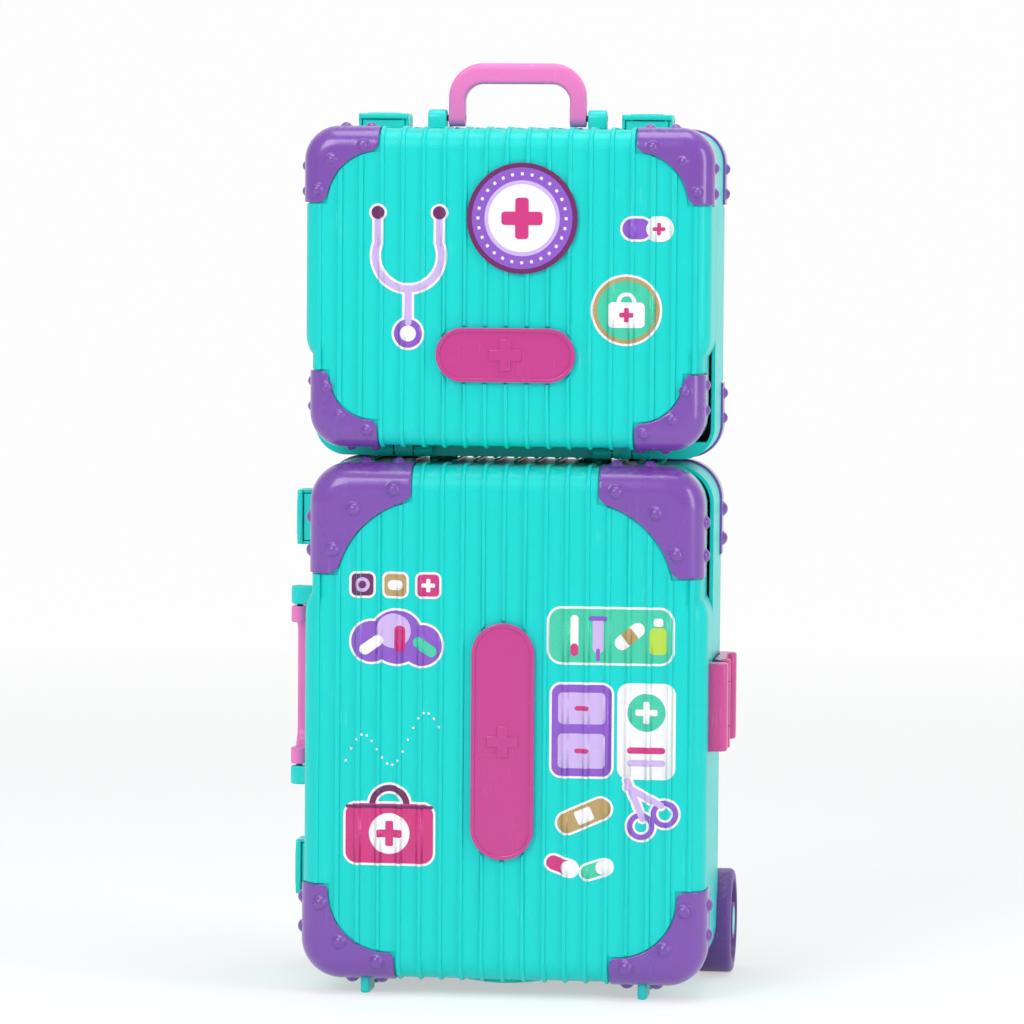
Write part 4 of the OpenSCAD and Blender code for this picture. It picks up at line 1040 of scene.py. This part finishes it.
def button(name, outline, y0, y1, edge, mat, body):
    """Raised plate with a rounded front edge, from y0 to y1 in mm over the face."""
    bm = bmesh.new()
    face = bm.faces.new([bm.verts.new((x * MM, FACE_Y - y0 * MM, z * MM)) for x, z in outline])
    front = bmesh.ops.extrude_face_region(bm, geom=[face])
    moved = [v for v in front["geom"] if isinstance(v, bmesh.types.BMVert)]
    bmesh.ops.translate(bm, verts=moved, vec=(0, -(y1 - y0) * MM, 0))
    bmesh.ops.recalc_face_normals(bm, faces=bm.faces)
    top = [e for e in bm.edges if all(v in moved for v in e.verts)]
    bmesh.ops.bevel(bm, geom=top, offset=edge * MM, offset_type="OFFSET", segments=3,
                    profile=0.5, affect="EDGES", clamp_overlap=False)
    piece = smoothed(new_piece(name, baked(bm, name), finish(mat)))
    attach(piece, body)


class DOCTORCASE_OT_stickers(bpy.types.Operator):
    """Adds the lid's round medallion and the foil stickers of plain doctor's things"""

    bl_idname = "doctorcase.stickers"
    bl_label = "Stickers"

    def execute(self, context):
        sizes = settings("stickers")
        r = sizes.medal_r / MM
        x, z = MIDDLE
        lid = "upper_lid"
        plate_edge, cross_edge, cross_corner = 0.22, 0.3, 2
        for name, (share, y0, y1, mat) in MEDALLION.items():
            button("medallion_" + name, disc(x, z, r * share), y0, y1, plate_edge, mat, lid)
        for name, (w, h, y0, y1) in CROSS.items():
            button("medallion_cross_" + name, slab(x, z, r * w, r * h, cross_corner), y0, y1,
                   cross_edge, "rose", lid)
        dots_share, dots_y, dot = 0.795, 2.95 * MM, (1.9 * MM, 1.9 * MM, 1.0 * MM)
        made_by("Ring of blocks", "medallion_dots",
                {"Count": sizes.dot_count, "Radius": r * dots_share * MM,
                 "Block": dot, "Turn": (pi / 2, 0, 0),
                 "Centre": (x * MM, FACE_Y - dots_y, z * MM)}, lid, "plate", "white")
        stickers("lid_sticker", LID_STICKERS, lid)
        dashes = [("white", 1, disc(px, pz, DASH_R)) for px, pz in DASHES]
        stickers("door_sticker", DOOR_STICKERS, "lower_door", dashes)
        return {"FINISHED"}


# --- Stage ---


def pale(name, base, seen, white):
    """Diffuse floor that a camera sees partly as plain white, so that it keeps a soft shadow.

    The share of white grows from seen near the case to white far from it.
    """
    mat = bpy.data.materials.new(name)
    mat.use_nodes = True
    tree = mat.node_tree
    tree.nodes.clear()
    place = add(tree, "ShaderNodeTexCoord").outputs["Object"]
    reach = add(tree, "ShaderNodeVectorMath", {0: place}, operation="LENGTH")
    share = ranged(tree, reach.outputs["Value"], 0.5, 2.4, seen, white)
    tint = blend(tree, noise(tree, place, 3.0, 2.0), base, tuple(c * 0.985 for c in base))
    dull = add(tree, "ShaderNodeBsdfDiffuse", {"Color": tint})
    glow = add(tree, "ShaderNodeEmission", {"Color": (1, 1, 1, 1), "Strength": 1.0})
    path = add(tree, "ShaderNodeLightPath").outputs
    seen_by = calc(tree, "ADD", path["Is Camera Ray"], path["Is Glossy Ray"], clamp=True)
    mix = add(tree, "ShaderNodeMixShader",
              {0: calc(tree, "MULTIPLY", seen_by, share), 1: dull.outputs[0],
               2: glow.outputs[0]})
    add(tree, "ShaderNodeOutputMaterial", {"Surface": mix.outputs[0]})
    return mat


def lamp(name, place, aim, size, power):
    """Softbox of a width and height, aimed at a point."""
    data = bpy.data.lights.new(name, "AREA")
    data.shape, data.size, data.size_y = "RECTANGLE", *size
    data.energy = power
    thing = bpy.data.objects.new(name, data)
    bpy.context.scene.collection.objects.link(thing)
    thing.location = place
    thing.rotation_euler = (Vector(aim) - Vector(place)).to_track_quat("-Z", "Y").to_euler()


def floor_and_wall():
    """Floor that bends up into a wall far behind the case."""
    front, bend_y, bend_r, top, half_width, drop = -9.0, 4.8, 1.2, 9.0, 9.0, 0.0001
    rows = [(front, 0.0), (bend_y, 0.0)]
    rows += [(bend_y + bend_r * sin(a), bend_r - bend_r * cos(a))
             for a in (radians(t) for t in range(5, 91, 5))]
    rows += [(bend_y + bend_r, top)]
    bm = bmesh.new()
    grid = [[bm.verts.new((x, y, z - drop)) for x in (-half_width, half_width)]
            for y, z in rows]
    for low, high in zip(grid, grid[1:]):
        bm.faces.new((low[0], low[1], high[1], high[0]))
    mesh = baked(bm, "backdrop")
    mesh.polygons.foreach_set("use_smooth", [True] * len(mesh.polygons))
    backdrop = new_piece("backdrop", mesh,
                         pale("Doctor case backdrop", (0.965, 0.97, 0.97, 1), 0.5, 0.96))


def surround(scene, strength):
    """Even light from all sides, which a camera sees as plain white."""
    world = bpy.data.worlds.new("Doctor case surround")
    scene.world = world
    world.use_nodes = True
    tree = world.node_tree
    tree.nodes.clear()
    path = add(tree, "ShaderNodeLightPath").outputs
    seen = calc(tree, "ADD", path["Is Camera Ray"], path["Is Transmission Ray"], clamp=True)
    even = add(tree, "ShaderNodeBackground", {"Color": (0.93, 0.97, 1, 1),
                                              "Strength": strength})
    white = add(tree, "ShaderNodeBackground", {"Color": (1, 1, 1, 1), "Strength": 1.0})
    both = add(tree, "ShaderNodeMixShader", {0: seen, 1: even.outputs[0],
                                             2: white.outputs[0]})
    add(tree, "ShaderNodeOutputWorld", {"Surface": both.outputs[0]})


def view(scene, stage):
    """Camera at the photograph's place and angle."""
    camera = bpy.data.objects.new("camera", bpy.data.cameras.new("camera"))
    scene.collection.objects.link(camera)
    c, s = cos(stage.yaw), sin(stage.yaw)
    cp, sp = cos(stage.pitch), sin(stage.pitch)
    forward = Vector((-s * cp, c * cp, -sp))
    right = Vector((c, s, 0))
    up = right.cross(forward)
    cr, sr = cos(stage.roll), sin(stage.roll)
    side, top = cr * right + sr * up, cr * up - sr * right
    turn = Matrix((side, top, -forward)).transposed()
    camera.matrix_world = Matrix.Translation(stage.eye) @ turn.to_4x4()
    camera.data.sensor_width = 36
    camera.data.lens = stage.lens
    camera.data.clip_start, camera.data.clip_end = 0.1, 40
    scene.camera = camera


class DOCTORCASE_OT_stage(bpy.types.Operator):
    """Sets the pale floor, soft lamps and the camera"""

    bl_idname = "doctorcase.stage"
    bl_label = "Stage"

    def execute(self, context):
        stage = settings("stage")
        floor_and_wall()
        surround(context.scene, stage.sky)
        for name, place, height, size, power in (
            ("key_softbox", (-1.1, -2.3, 1.9), 0.3, (1.3, 1.3), stage.key),
            ("side_softbox", (2.1, -0.9, 1.0), 0.3, (0.6, 1.6), stage.side),
            ("top_softbox", (0.1, -0.2, 2.2), 0.4, (1.4, 1.0), stage.side),
        ):
            lamp(name, place, (0, 0, height), size, power)
        view(context.scene, stage)
        context.scene.view_settings.view_transform = "Standard"
        return {"FINISHED"}


# --- Panel and start ---

OPERATORS = (
    DOCTORCASE_OT_shells, DOCTORCASE_OT_guards, DOCTORCASE_OT_handles, DOCTORCASE_OT_latches,
    DOCTORCASE_OT_hinge, DOCTORCASE_OT_wheels, DOCTORCASE_OT_trays, DOCTORCASE_OT_plates,
    DOCTORCASE_OT_stickers, DOCTORCASE_OT_stage,
)
GROUPS = {"colours": CaseColours, "mouldings": CaseMouldings, "stickers": CaseStickers,
          "stage": CaseStage}


class DOCTORCASE_PT_panel(bpy.types.Panel):
    """Sizes, colours and steps of the doctor case"""

    bl_idname = "DOCTORCASE_PT_panel"
    bl_label = "Doctor Case"
    bl_space_type = "VIEW_3D"
    bl_region_type = "UI"
    bl_category = "Doctor Case"

    def draw(self, context):
        for name, kind in GROUPS.items():
            box = self.layout.box()
            box.label(text=name.capitalize())
            for key in kind.__annotations__:
                box.prop(settings(name), key)
        for step in OPERATORS:
            self.layout.operator(step.bl_idname)


def register():
    for kind in (*GROUPS.values(), *OPERATORS, DOCTORCASE_PT_panel):
        bpy.utils.register_class(kind)
    for name, kind in GROUPS.items():
        setattr(bpy.types.Scene, "doctor_case_" + name, PointerProperty(type=kind))


def unregister():
    for name in GROUPS:
        delattr(bpy.types.Scene, "doctor_case_" + name)
    for kind in (DOCTORCASE_PT_panel, *reversed(OPERATORS), *reversed(GROUPS.values())):
        bpy.utils.unregister_class(kind)


def main():
    register()
    for step in OPERATORS:
        family, name = step.bl_idname.split(".")
        getattr(getattr(bpy.ops, family), name)()


if __name__ == "__main__":
    main()
